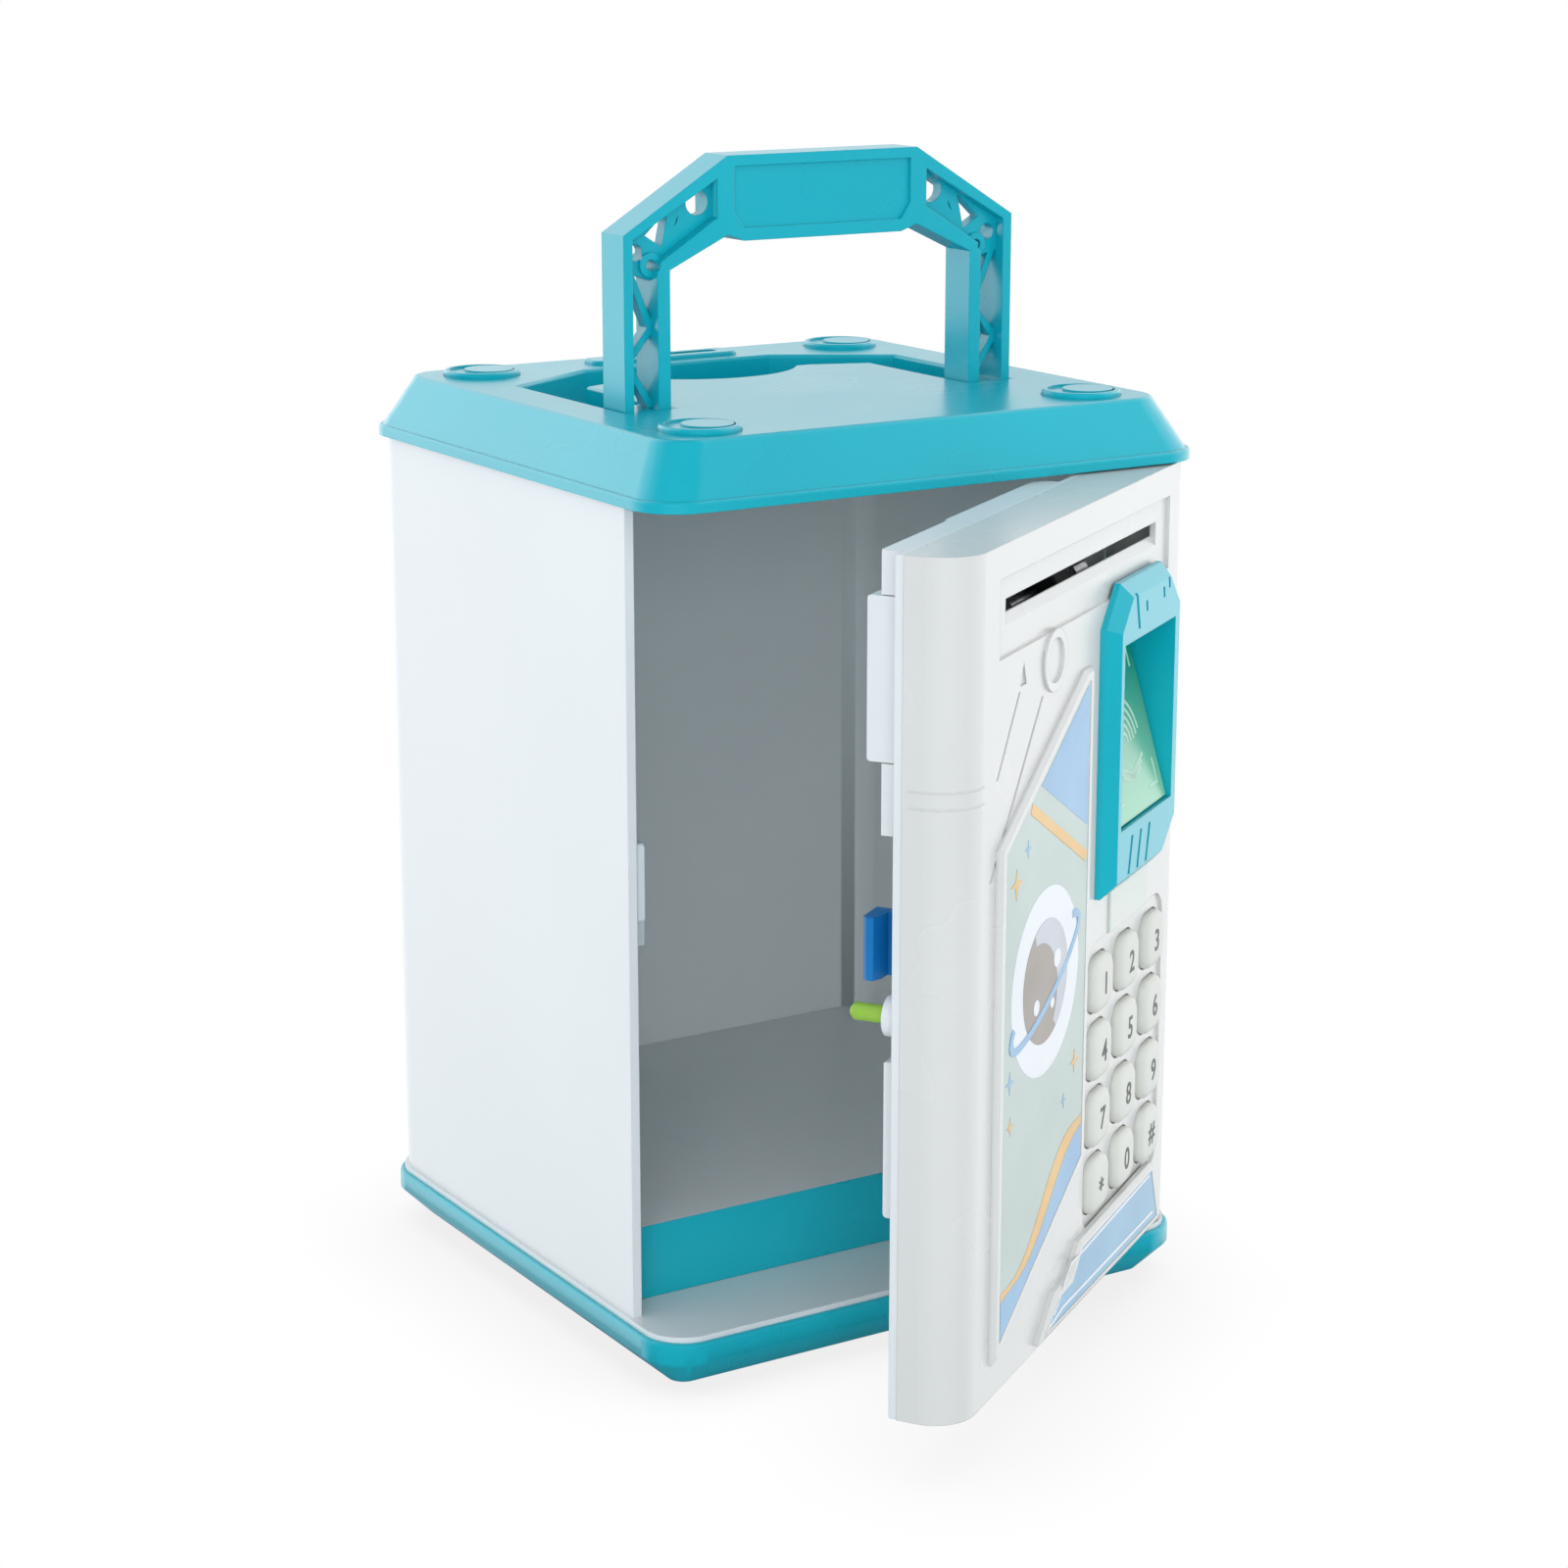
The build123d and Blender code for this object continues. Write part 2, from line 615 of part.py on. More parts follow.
# Two short pins that carry the handle in the recess
with BuildPart() as handle_pins:
    with BuildSketch(Plane.YZ.offset(island_half - lid_skin + 0.2)):
        with Locations((handle_mid, pivot_z)):
            Circle(pin_radius)
    extrude(amount=recess_half - island_half + 2 * lid_skin - 0.4)
    mirror(about=Plane.YZ)
save(handle_pins, "handle_pins")

# Door front: outer skin with a rounded free edge, hinge barrel, sunk keypad tray and all openings
tray_wide = 2 * key_column + key_wide + 2 * tray_side
tray_tall = 3 * key_row + key_tall + 2 * tray_end
tray_z = key_low_z + 1.5 * key_row
key_places = [(key_centre + (1 - column) * key_column, key_low_z + row * key_row)
              for row in range(4) for column in range(3)]
screw_line = door_reach - 8.2
screw_spots = ((screw_line, 24.0), (screw_line, 124.0), (screw_line - 6.0, 178.2), (13.0, 24.0),
               (bay_near - 4.0, 95.0), (22.0, 177.0))
indicator_wide = 23.8
indicator_tall = 9.0
indicator_z = bezel_low - indicator_tall / 2 - 0.6
boss_radius = 3.0
hollow_near = hinge_pin_radius + 1.0
with BuildPart() as door_front:
    with BuildSketch(door_level(door_z)):
        with Locations((-door_reach / 2, (door_outer + cover_seat) / 2)):
            Rectangle(door_reach, cover_seat - door_outer)
        fillet(vertices().group_by(Axis((0, 0, 0), toward_hinge))[0].sort_by(
            Axis((0, 0, 0), inward))[0], radius=barrel)
        Circle(barrel)
    extrude(amount=door_height)
    with BuildSketch(door_level(door_z + skin)):
        with Locations((-(door_reach - skin + hollow_near) / 2, (door_outer + skin + cover_seat) / 2)):
            Rectangle(door_reach - skin - hollow_near, cover_seat - door_outer - skin)
        fillet(vertices().group_by(Axis((0, 0, 0), toward_hinge))[0].sort_by(
            Axis((0, 0, 0), inward))[0], radius=barrel - skin)
    extrude(amount=door_height - 2 * skin, mode=Mode.SUBTRACT)
    # Screw bosses
    with BuildSketch(door_face(cover_seat)):
        with Locations(*on_face(screw_spots)):
            Circle(boss_radius)
    extrude(amount=cover_seat - door_outer - skin + 0.5)
    with BuildSketch(door_face(cover_seat)):
        with Locations(*on_face(screw_spots)):
            Circle(screw_radius + 0.05)
    extrude(amount=8.0, mode=Mode.SUBTRACT)
    # Banknote slot with a shallow frame round it and a sloping lead-in under it
    with BuildSketch(door_face(door_outer + 0.7)):
        block(slot_near - 7.0, slot_far + 4.4, slot_z - 9.3, slot_z + 5.9)
    extrude(amount=2.0, mode=Mode.SUBTRACT)
    with BuildSketch(door_face(door_outer + skin + 1.0)):
        block(slot_near, slot_far, slot_z - slot_tall / 2, slot_z + slot_tall / 2)
    extrude(amount=skin + 2.0, mode=Mode.SUBTRACT)
    with BuildSketch(door_side(slot_far)):
        low = slot_z - slot_tall / 2
        Polygon((door_outer, low - 3.0), (door_outer + skin, low), (door_outer, low + 0.6), align=None)
    extrude(amount=slot_far - slot_near, mode=Mode.SUBTRACT)
    # Openings for the sensor, the indicator window and the keys, in a sunk tray
    with BuildSketch(door_face(door_outer + skin + 1.0)):
        block(well_near - well_wall - 0.1, well_far + well_wall + 0.1,
              well_low - well_wall - 0.1, well_high + well_wall + 0.1)
        with Locations((-key_centre, indicator_z)):
            Rectangle(indicator_wide + 0.2, indicator_tall + 0.2)
    extrude(amount=skin + 2.0, mode=Mode.SUBTRACT)
    with BuildSketch(door_face(door_outer + tray_depth)):
        with Locations((-key_centre, tray_z)):
            RectangleRounded(tray_wide, tray_tall, key_corner + tray_side)
    extrude(amount=tray_depth + 1.0, mode=Mode.SUBTRACT)
    with BuildSketch(door_face(door_outer + skin + 1.0)):
        with Locations(*on_face(key_places)):
            RectangleRounded(key_wide + 2 * key_gap, key_tall + 2 * key_gap, key_corner + key_gap)
    extrude(amount=skin + 2.0, mode=Mode.SUBTRACT)
    # Raised ring, a small arrow mark and two fine grooves that run down to the free edge
    with BuildSketch(door_face(door_outer)):
        with Locations((-slot_far + 25.1, slot_z - 15.0)):
            Circle(6.2)
            Circle(4.4, mode=Mode.SUBTRACT)
    extrude(amount=0.6)
    with BuildSketch(door_face(door_outer + 0.5)):
        for marks in (((10.1, 153.4), (6.9, 153.4), (8.5, 158.0)),
                      ((19.7, 149.0), (18.5, 149.0), (-8.1, 119.0), (-6.9, 119.0)),
                      ((6.9, 152.4), (5.9, 152.4), (-5.3, 138.0), (-4.3, 138.0))):
            Polygon(*on_face([(slot_far - u, z) for u, z in marks]), align=None)
    extrude(amount=2.0, mode=Mode.SUBTRACT)
    # Hinge pin bores
    with BuildSketch(door_level(door_z)):
        Circle(hinge_pin_radius)
    extrude(amount=hinge_pin_grip, mode=Mode.SUBTRACT)
    with BuildSketch(door_level(door_z + door_height - hinge_pin_grip)):
        Circle(hinge_pin_radius)
    extrude(amount=hinge_pin_grip, mode=Mode.SUBTRACT)
save(door_front, "door_front")

# Steel hinge pins, fixed in the barrel and turning in the sill and the lid
with BuildPart() as hinge_pins:
    with BuildSketch(door_level(door_z - hinge_pin_reach + 0.6)):
        Circle(hinge_pin_radius)
    extrude(amount=hinge_pin_grip + hinge_pin_reach - 0.8)
    with BuildSketch(door_level(door_z + door_height - hinge_pin_grip + 0.2)):
        Circle(hinge_pin_radius)
    extrude(amount=hinge_pin_grip + hinge_pin_reach - 0.6)
save(hinge_pins, "hinge_pins")

# Door back: inner cover plate with the feed window, the battery window, the latch slot and the collar
back_near = barrel + 0.6
feed_top = door_z + door_height - 0.5
with BuildPart() as door_back:
    with BuildSketch(door_face(door_inner)):
        block(back_near, door_reach - 0.3, door_z, door_z + door_height)
    extrude(amount=skin)
    fillet(door_back.faces().sort_by(Axis((0, 0, 0), inward))[-1].outer_wire().edges(), radius=0.8)
    # Low moulded steps above and below the feed housing
    with BuildSketch(door_face(door_inner + step_proud)):
        block(feed_near, feed_far, feed_high + 0.2, feed_top)
    extrude(amount=step_proud)
    with BuildSketch(door_face(door_inner + feed_proud * 0.69)):
        block(feed_near + 0.5, feed_near + 50.0, feed_high + 0.2, feed_top)
    extrude(amount=feed_proud * 0.69)
    with BuildSketch(door_face(door_inner + feed_proud * 0.57)):
        block(feed_near, feed_far, feed_low - 14.0, feed_low - 0.2)
    extrude(amount=feed_proud * 0.57)
    with BuildSketch(door_face(door_inner + collar_out)):
        with Locations((-plunger_u, plunger_z)):
            Circle(collar_radius)
    extrude(amount=collar_out)
    # Posts that press the keypad board
    with BuildSketch(door_face(cover_seat)):
        for u in (key_centre - 14.0, key_centre + 18.0):
            for z in (tray_z - 26.0, tray_z + 26.0):
                with Locations((-u, z)):
                    Circle(2.2)
    extrude(amount=5.4)
    # Windows
    with BuildSketch(door_face(door_inner + feed_proud)):
        block(feed_near + 3.0, feed_far - 3.0, feed_low + 3.0, feed_high - 3.0)
        block(bay_near + 2.6, bay_far - 2.6, bay_low + 1.0, bay_high - 1.0)
        block(hook_u - hook_travel - 2.0, hook_u + hook_travel + 2.4, hook_low - 0.4, hook_high + 0.4)
    extrude(amount=feed_proud + skin + 1.0, mode=Mode.SUBTRACT)
    with BuildSketch(door_face(door_inner + collar_out + 1.0)):
        with Locations((-plunger_u, plunger_z)):
            Circle(plunger_radius + running_gap + 0.03)
        with Locations(*on_face(screw_spots[:2] + screw_spots[3:5])):
            Circle(screw_radius + 0.05)
    extrude(amount=collar_out + skin + 2.0, mode=Mode.SUBTRACT)
    with BuildSketch(door_face(door_inner + feed_proud)):
        with Locations(*on_face((screw_spots[2], screw_spots[5]))):
            Circle(screw_radius + 0.05)
    extrude(amount=feed_proud + skin + 1.0, mode=Mode.SUBTRACT)
save(door_back, "door_back")

# Screws through the inner cover into the bosses of the front
with BuildPart() as door_screws:
    for spot, seat in zip(screw_spots, (0, 0, step_proud, 0, 0, 0)):
        with BuildSketch(door_face(door_inner + seat + 1.2)):
            with Locations(*on_face((spot,))):
                Circle(screw_head)
        extrude(amount=1.2)
        with BuildSketch(door_face(door_inner + seat)):
            with Locations(*on_face((spot,))):
                Circle(screw_radius)
        extrude(amount=seat + skin + 6.0)
save(door_screws, "door_screws")

# Feed housing: moulded cap over the rollers, with an exit slot for the note
with BuildPart() as feed_cover:
    with BuildSketch(door_face(door_inner + feed_proud)):
        block(feed_near, feed_far, feed_low, feed_high)
    extrude(amount=feed_proud)
    fillet(feed_cover.faces().sort_by(Axis((0, 0, 0), inward))[-1].outer_wire().edges(), radius=1.2)
    with BuildSketch(door_face(door_inner + feed_proud - feed_wall)):
        block(feed_near + feed_wall, feed_far - feed_wall, feed_low + feed_wall, feed_high - feed_wall)
    extrude(amount=feed_proud - feed_wall, mode=Mode.SUBTRACT)
    with BuildSketch(door_face(door_inner + feed_proud + 1.0)):
        block(feed_near + 5.0, slot_far + 4.0, slot_z - 2.5, slot_z + 0.7)
    extrude(amount=feed_wall + 2.0, mode=Mode.SUBTRACT)
save(feed_cover, "feed_cover")

# Bracket that carries the roller shaft at both ends
shaft_z = slot_z - slot_tall / 2 - roller_radius + 0.9
frame_near = roller_places[0] - roller_width / 2 - 3.0
frame_far = roller_places[1] + roller_width / 2 + 3.0
frame_back = door_inner + feed_proud - feed_wall - 0.2
with BuildPart() as feed_frame:
    with BuildSketch(door_face(frame_back)):
        block(frame_near - 1.6, frame_far + 1.6, shaft_z - 9.0, shaft_z - 1.0)
    extrude(amount=1.4)
    with BuildSketch(door_side(frame_far + 1.6)):
        Polygon((frame_back, shaft_z - 9.0), (frame_back, shaft_z + 3.0), (feed_shaft_y - 3.0, shaft_z + 3.0),
                (feed_shaft_y - 3.0, shaft_z - 3.0), (feed_shaft_y, shaft_z - 9.0), align=None)
    extrude(amount=1.6)
    with BuildSketch(door_side(frame_near)):
        Polygon((frame_back, shaft_z - 9.0), (frame_back, shaft_z + 3.0), (feed_shaft_y - 3.0, shaft_z + 3.0),
                (feed_shaft_y - 3.0, shaft_z - 3.0), (feed_shaft_y, shaft_z - 9.0), align=None)
    extrude(amount=1.6)
    with BuildSketch(door_side(frame_far + 2.6)):
        with Locations((feed_shaft_y, shaft_z)):
            Circle(feed_shaft_radius + running_gap)
    extrude(amount=frame_far - frame_near + 6.0, mode=Mode.SUBTRACT)
save(feed_frame, "feed_frame")

# Geared motor, in line with the shaft
motor_radius = 5.6
motor_near = feed_near + 5.0
motor_far = frame_near - 2.0
with BuildPart() as feed_motor:
    with BuildSketch(door_side(motor_far)):
        with Locations((feed_shaft_y + 0.6, shaft_z)):
            Circle(motor_radius)
            Rectangle(2 * motor_radius - 2.6, 2 * motor_radius + 1.6)
    extrude(amount=motor_far - motor_near)
save(feed_motor, "feed_motor")

# Roller shaft, turning in the bracket
with BuildPart() as feed_shaft:
    with BuildSketch(door_side(frame_far + 2.4)):
        with Locations((feed_shaft_y, shaft_z)):
            Circle(feed_shaft_radius)
    extrude(amount=frame_far + 2.4 - motor_far - 0.3)
save(feed_shaft, "feed_shaft")

# Two rubber rollers on the shaft
with BuildPart() as feed_rollers:
    for place in roller_places:
        with BuildSketch(door_side(place + roller_width / 2)):
            with Locations((feed_shaft_y, shaft_z)):
                Circle(roller_radius)
                Circle(feed_shaft_radius, mode=Mode.SUBTRACT)
        extrude(amount=roller_width)
    chamfer(feed_rollers.edges().filter_by(GeomType.CIRCLE).group_by(SortBy.RADIUS)[-1], length=0.5)
save(feed_rollers, "feed_rollers")

# Battery bay cover and the two cells with their contact plates
with BuildPart() as battery_cover:
    with BuildSketch(door_face(door_inner + bay_proud)):
        block(bay_near, bay_far, bay_low, bay_high)
    extrude(amount=bay_proud)
    fillet(battery_cover.faces().sort_by(Axis((0, 0, 0), inward))[-1].outer_wire().edges(), radius=1.2)
    with BuildSketch(door_face(door_inner + bay_proud - feed_wall)):
        block(bay_near + feed_wall, bay_far - feed_wall, bay_low + feed_wall, bay_high - feed_wall)
    extrude(amount=bay_proud - feed_wall, mode=Mode.SUBTRACT)
save(battery_cover, "battery_cover")

cell_y = door_inner + bay_proud - feed_wall - 0.2 - cell_radius
cell_mid = (bay_near + bay_far) / 2
bay_mid = (bay_low + bay_high) / 2
cell_rows = (bay_mid - cell_radius - 0.1, bay_mid + cell_radius + 0.1)
with BuildPart() as battery_cells:
    with BuildSketch(door_side(cell_mid + cell_length / 2)):
        with Locations(*[(cell_y, z) for z in cell_rows]):
            Circle(cell_radius)
    extrude(amount=cell_length - 1.0)
    with BuildSketch(door_side(cell_mid - cell_length / 2 + 1.0)):
        with Locations(*[(cell_y, z) for z in cell_rows]):
            Circle(2.7)
    extrude(amount=1.0)
save(battery_cells, "battery_cells")

with BuildPart() as battery_contacts:
    for place in (cell_mid + cell_length / 2 + 0.6, cell_mid - cell_length / 2 - 0.1):
        with BuildSketch(door_side(place)):
            with Locations(*[(cell_y, z) for z in cell_rows]):
                Rectangle(9.0, 10.0)
        extrude(amount=0.5)
save(battery_contacts, "battery_contacts")

# Sensor bezel: wide bevelled frame with cut corners round a deep well
bezel_points = on_face(((bezel_near, bezel_low + 7.6), (bezel_near + 9.5, bezel_low), (bezel_far, bezel_low),
                        (bezel_far, bezel_high - bezel_cut), (bezel_far - bezel_cut, bezel_high),
                        (bezel_near + bezel_cut, bezel_high), (bezel_near, bezel_high - bezel_cut)))
bezel_front = door_outer - bezel_proud
well_back = bezel_front + well_depth
with BuildPart() as sensor_bezel:
    with BuildSketch(door_face(door_outer)):
        Polygon(*bezel_points, align=None)
    extrude(amount=bezel_proud)
    chamfer(sensor_bezel.faces().sort_by(Axis((0, 0, 0), outward))[-1].outer_wire().edges(),
            length=bezel_proud - 1.2, length2=bezel_proud - 1.0)
    with BuildSketch(door_face(well_back)):
        block(well_near - well_wall, well_far + well_wall, well_low - well_wall, well_high + well_wall)
    extrude(amount=well_back - door_outer)
    with BuildSketch(door_face(well_back - well_wall)):
        block(well_near, well_far, well_low, well_high)
    extrude(amount=well_depth, mode=Mode.SUBTRACT)
    # Slashes above and below the window
    with BuildSketch(door_face(bezel_front + 0.5)):
        Polygon(*on_face(((34.2, 153.6), (35.4, 153.6), (37.6, 161.6), (36.4, 161.6))), align=None)
        for u in (26.0, 31.5, 37.0):
            Polygon(*on_face(((u - 1.6, 110.8), (u - 0.4, 110.8), (u + 1.6, 103.0), (u + 0.4, 103.0))), align=None)
        for u, z in ((29.6, 156.4), (18.6, 157.2), (15.2, 158.6)):
            Polygon(*on_face(((u, z), (u + 1.0, z), (u + 1.4, z + 2.2), (u + 0.4, z + 2.2))), align=None)
    extrude(amount=1.0, mode=Mode.SUBTRACT)
save(sensor_bezel, "sensor_bezel")

# Finger pad: a sloping touch plate, its foot at the front of the well and its head deep inside
pad_run = well_high - well_low - 2 * pad_gap
pad_drop = pad_run * sin(radians(pad_tilt)) / cos(radians(pad_tilt))
pad_front = well_back - well_wall - pad_travel - 0.3 - pad_thick - pad_drop
pad_low = well_low + pad_gap
with BuildPart() as finger_pad:
    with BuildSketch(door_side(well_far - pad_gap)):
        Polygon((pad_front, pad_low), (pad_front + pad_drop, pad_low + pad_run),
                (pad_front + pad_drop + pad_thick, pad_low + pad_run), (pad_front + pad_thick, pad_low), align=None)
    extrude(amount=well_far - well_near - 2 * pad_gap)
save(finger_pad, "finger_pad")

# Milky indicator window above the keys
with BuildPart() as indicator_window:
    with BuildSketch(door_face(door_outer + skin + 0.8)):
        with Locations((-key_centre, indicator_z)):
            RectangleRounded(indicator_wide + 3.0, indicator_tall + 1.0, 0.8)
    extrude(amount=0.8)
    with BuildSketch(door_face(door_outer + skin)):
        with Locations((-key_centre, indicator_z)):
            Rectangle(indicator_wide, indicator_tall)
    extrude(amount=skin + 0.5)
    fillet(indicator_window.faces().sort_by(Axis((0, 0, 0), outward))[-1].outer_wire().edges(), radius=0.4)
save(indicator_window, "indicator_window")

# Twelve key caps, each with a flange that stops it behind the skin
flange_y = door_outer + skin + 0.25
for name, (u, z) in zip(key_names, key_places):
    with BuildPart() as key:
        with BuildSketch(door_face(flange_y + key_flange)):
            with Locations((-u, z)):
                RectangleRounded(key_wide + 1.6, key_tall + 1.4, key_corner)
        extrude(amount=key_flange)
        with BuildSketch(door_face(flange_y)):
            with Locations((-u, z)):
                RectangleRounded(key_wide, key_tall, key_corner)
        extrude(amount=flange_y - door_outer + key_proud)
        fillet(key.faces().sort_by(Axis((0, 0, 0), outward))[-1].outer_wire().edges(), radius=1.1)
    save(key, name)

# Rubber mat and circuit board behind the keys
mat_y = flange_y + key_flange + key_travel + 0.2
mat_thick = 0.8
with BuildPart() as key_mat:
    with BuildSketch(door_face(mat_y + mat_thick)):
        with Locations((-key_centre, tray_z)):
            RectangleRounded(tray_wide - 3.0, tray_tall - 3.0, 3.0)
    extrude(amount=mat_thick)
save(key_mat, "key_mat")

board_thick = cover_seat - 5.4 - mat_y - mat_thick
with BuildPart() as keypad_board:
    with BuildSketch(door_face(mat_y + mat_thick + board_thick)):
        with Locations((-key_centre, tray_z)):
            Rectangle(tray_wide - 2.0, tray_tall - 2.0)
    extrude(amount=board_thick)
save(keypad_board, "keypad_board")

# Main board on the inside of the cover
with BuildPart() as main_board:
    with BuildSketch(door_face(cover_seat)):
        block(bay_near + 1.0, bay_near + 39.0, 90.0, 122.0)
    extrude(amount=1.6)
    with BuildSketch(door_face(cover_seat - 1.6)):
        block(bay_near + 9.0, bay_near + 19.0, 100.0, 110.0)
        block(bay_near + 23.0, bay_near + 33.0, 96.0, 101.0)
    extrude(amount=1.4)
save(main_board, "main_board")

# Small speaker facing the front
speaker_radius = 14.0
speaker_spot = (-bay_near - 27.0, 34.0)
with BuildPart() as speaker:
    with BuildSketch(door_face(door_outer + skin + 2.0)):
        with Locations(speaker_spot):
            Circle(speaker_radius)
    extrude(amount=2.0)
    with BuildSketch(door_face(door_outer + skin + 6.0)):
        with Locations(speaker_spot):
            Circle(speaker_radius * 0.5)
    extrude(amount=4.0)
save(speaker, "speaker")

# Picture panel: raised frame with a sunk field that holds the printed label
with BuildPart() as picture_panel:
    with BuildSketch(door_face(door_outer)):
        Polygon(*on_face(panel_outline), align=None)
    extrude(amount=panel_proud)
    chamfer(picture_panel.faces().sort_by(Axis((0, 0, 0), outward))[-1].outer_wire().edges(), length=0.8)
    with BuildSketch(door_face(door_outer - panel_proud + label_thick)):
        Polygon(*on_face(panel_outline), align=None)
        offset(amount=-panel_frame, kind=Kind.INTERSECTION)
    extrude(amount=2 * label_thick, mode=Mode.SUBTRACT)
save(picture_panel, "picture_panel")

with BuildPart() as picture_label:
    with BuildSketch(door_face(door_outer - panel_proud + label_thick)):
        Polygon(*on_face(panel_outline), align=None)
        offset(amount=-panel_frame - 0.1, kind=Kind.INTERSECTION)
    extrude(amount=label_thick - 0.1)
save(picture_label, "picture_label")

# Lower panel: a raised trim under the keys, with its own label
with BuildPart() as lower_panel:
    with BuildSketch(door_face(door_outer)):
        Polygon(*on_face(lower_outline), align=None)
    extrude(amount=lower_proud)
    chamfer(lower_panel.faces().sort_by(Axis((0, 0, 0), outward))[-1].outer_wire().edges(), length=0.7)
    with BuildSketch(door_face(door_outer - lower_proud + label_thick)):
        Polygon(*on_face(lower_outline), align=None)
        offset(amount=-1.6, kind=Kind.INTERSECTION)
    extrude(amount=2 * label_thick, mode=Mode.SUBTRACT)
save(lower_panel, "lower_panel")

with BuildPart() as lower_label:
    with BuildSketch(door_face(door_outer - lower_proud + label_thick)):
        Polygon(*on_face(lower_outline), align=None)
        offset(amount=-1.7, kind=Kind.INTERSECTION)
    extrude(amount=label_thick - 0.1)
save(lower_label, "lower_label")

# Latch hook: slides toward the free edge, with a lip that catches behind the keeper
hook_tip = hook_u + 5.9
hook_back = door_inner + hook_out
with BuildPart() as latch_hook:
    with BuildSketch(door_level(hook_low)):
        with Locations((-hook_u + 1.5, cover_seat - 1.9)):
            Rectangle(14.0, 3.0)
        with Locations((-hook_u + 0.2, (hook_back + cover_seat - 2.0) / 2)):
            Rectangle(hook_thick, hook_back - cover_seat + 2.0)
        Polygon((-hook_u + 1.4, hook_back), (-hook_u + 1.4, hook_back - hook_lip),
                (-hook_tip + 2.2, hook_back - hook_lip + 0.4), (-hook_tip, hook_back - hook_lip + 1.2),
                (-hook_tip, hook_back - 0.8), (-hook_tip + 0.8, hook_back), align=None)
    extrude(amount=hook_high - hook_low)
save(latch_hook, "latch_hook")

# Solenoid that draws the hook back
solenoid_far = hook_u - 9.0
with BuildPart() as latch_solenoid:
    with BuildSketch(door_side(solenoid_far)):
        with Locations((cover_seat - 6.6, (hook_low + hook_high) / 2 + 18.0)):
            RectangleRounded(7.6, 9.0, 1.0)
    extrude(amount=20.0)
save(latch_solenoid, "latch_solenoid")

# Door switch plunger and its switch body
plunger_root = cover_seat - plunger_travel - 2.4
with BuildPart() as plunger:
    with BuildSketch(door_face(door_inner + plunger_out)):
        with Locations((-plunger_u, plunger_z)):
            Circle(plunger_radius)
    extrude(amount=door_inner + plunger_out - plunger_root + 0.6)
    chamfer(plunger.faces().sort_by(Axis((0, 0, 0), inward))[-1].outer_wire().edges(), length=0.8)
    with BuildSketch(door_face(cover_seat - 0.3)):
        with Locations((-plunger_u, plunger_z)):
            Circle(plunger_radius + 1.0)
    extrude(amount=1.2)
save(plunger, "plunger")

with BuildPart() as door_switch:
    with BuildSketch(door_face(cover_seat)):
        block(plunger_u - 12.0, plunger_u - 3.6, plunger_z - 4.0, plunger_z + 4.0)
    extrude(amount=5.0)
save(door_switch, "door_switch")
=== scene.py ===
"""Looks of the electronic piggy bank: moulded ABS shells, printed labels, keys and a sensor pad."""
import json
import math

import bmesh
import bpy
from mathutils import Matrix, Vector

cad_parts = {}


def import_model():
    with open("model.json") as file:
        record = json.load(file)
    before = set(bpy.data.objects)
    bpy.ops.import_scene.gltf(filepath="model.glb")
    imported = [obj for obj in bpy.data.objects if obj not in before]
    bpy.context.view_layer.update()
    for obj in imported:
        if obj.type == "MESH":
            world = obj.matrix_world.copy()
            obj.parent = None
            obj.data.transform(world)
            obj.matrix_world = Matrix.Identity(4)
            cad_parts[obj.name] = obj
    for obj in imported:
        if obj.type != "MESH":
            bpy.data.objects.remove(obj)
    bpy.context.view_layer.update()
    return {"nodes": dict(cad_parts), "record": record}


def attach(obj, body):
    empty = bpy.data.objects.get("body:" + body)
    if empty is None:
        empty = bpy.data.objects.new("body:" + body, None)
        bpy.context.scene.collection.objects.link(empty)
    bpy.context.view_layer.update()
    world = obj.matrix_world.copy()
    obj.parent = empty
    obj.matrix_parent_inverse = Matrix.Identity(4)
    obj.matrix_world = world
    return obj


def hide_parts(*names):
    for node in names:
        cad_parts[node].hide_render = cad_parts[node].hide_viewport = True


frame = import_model()

MM = 0.001

# The open door: its hinge axis, its angle, and the depths of its faces from the axis, in mm
DOOR_OPEN = math.radians(33.9)
AXIS_X, AXIS_Y = 55.7, -55.15
DOOR_FACE = -8.55
DOOR_INNER = 6.35
PANEL_TOP = DOOR_FACE - 1.4
LOWER_TOP = DOOR_FACE - 1.8
KEY_TOP = DOOR_FACE - 1.5
BEZEL_TOP = DOOR_FACE - 3.8
KEY_CENTRE, KEY_LOW, KEY_COLUMN, KEY_ROW = 27.1, 37.3, 16.5, 14.6


# Small tools


def linear(hex_colour):
    """An sRGB hex value as the linear colour that a shader wants."""
    parts = [int(hex_colour[i:i + 2], 16) / 255 for i in (1, 3, 5)]
    return tuple(c / 12.92 if c <= 0.04045 else ((c + 0.055) / 1.055) ** 2.4 for c in parts) + (1.0,)


def node(tree, kind, settings=None, **inputs):
    """Adds a node with its settings; an input is given a value or another node's output."""
    made = tree.nodes.new(kind)
    for name, value in (settings or {}).items():
        setattr(made, name, value)
    for name, value in inputs.items():
        key = int(name[1:]) if name[0] == "n" and name[1:].isdigit() else name.replace("_", " ")
        socket = made.inputs[key]
        if isinstance(value, bpy.types.NodeSocket):
            tree.links.new(value, socket)
        else:
            socket.default_value = value
    return made


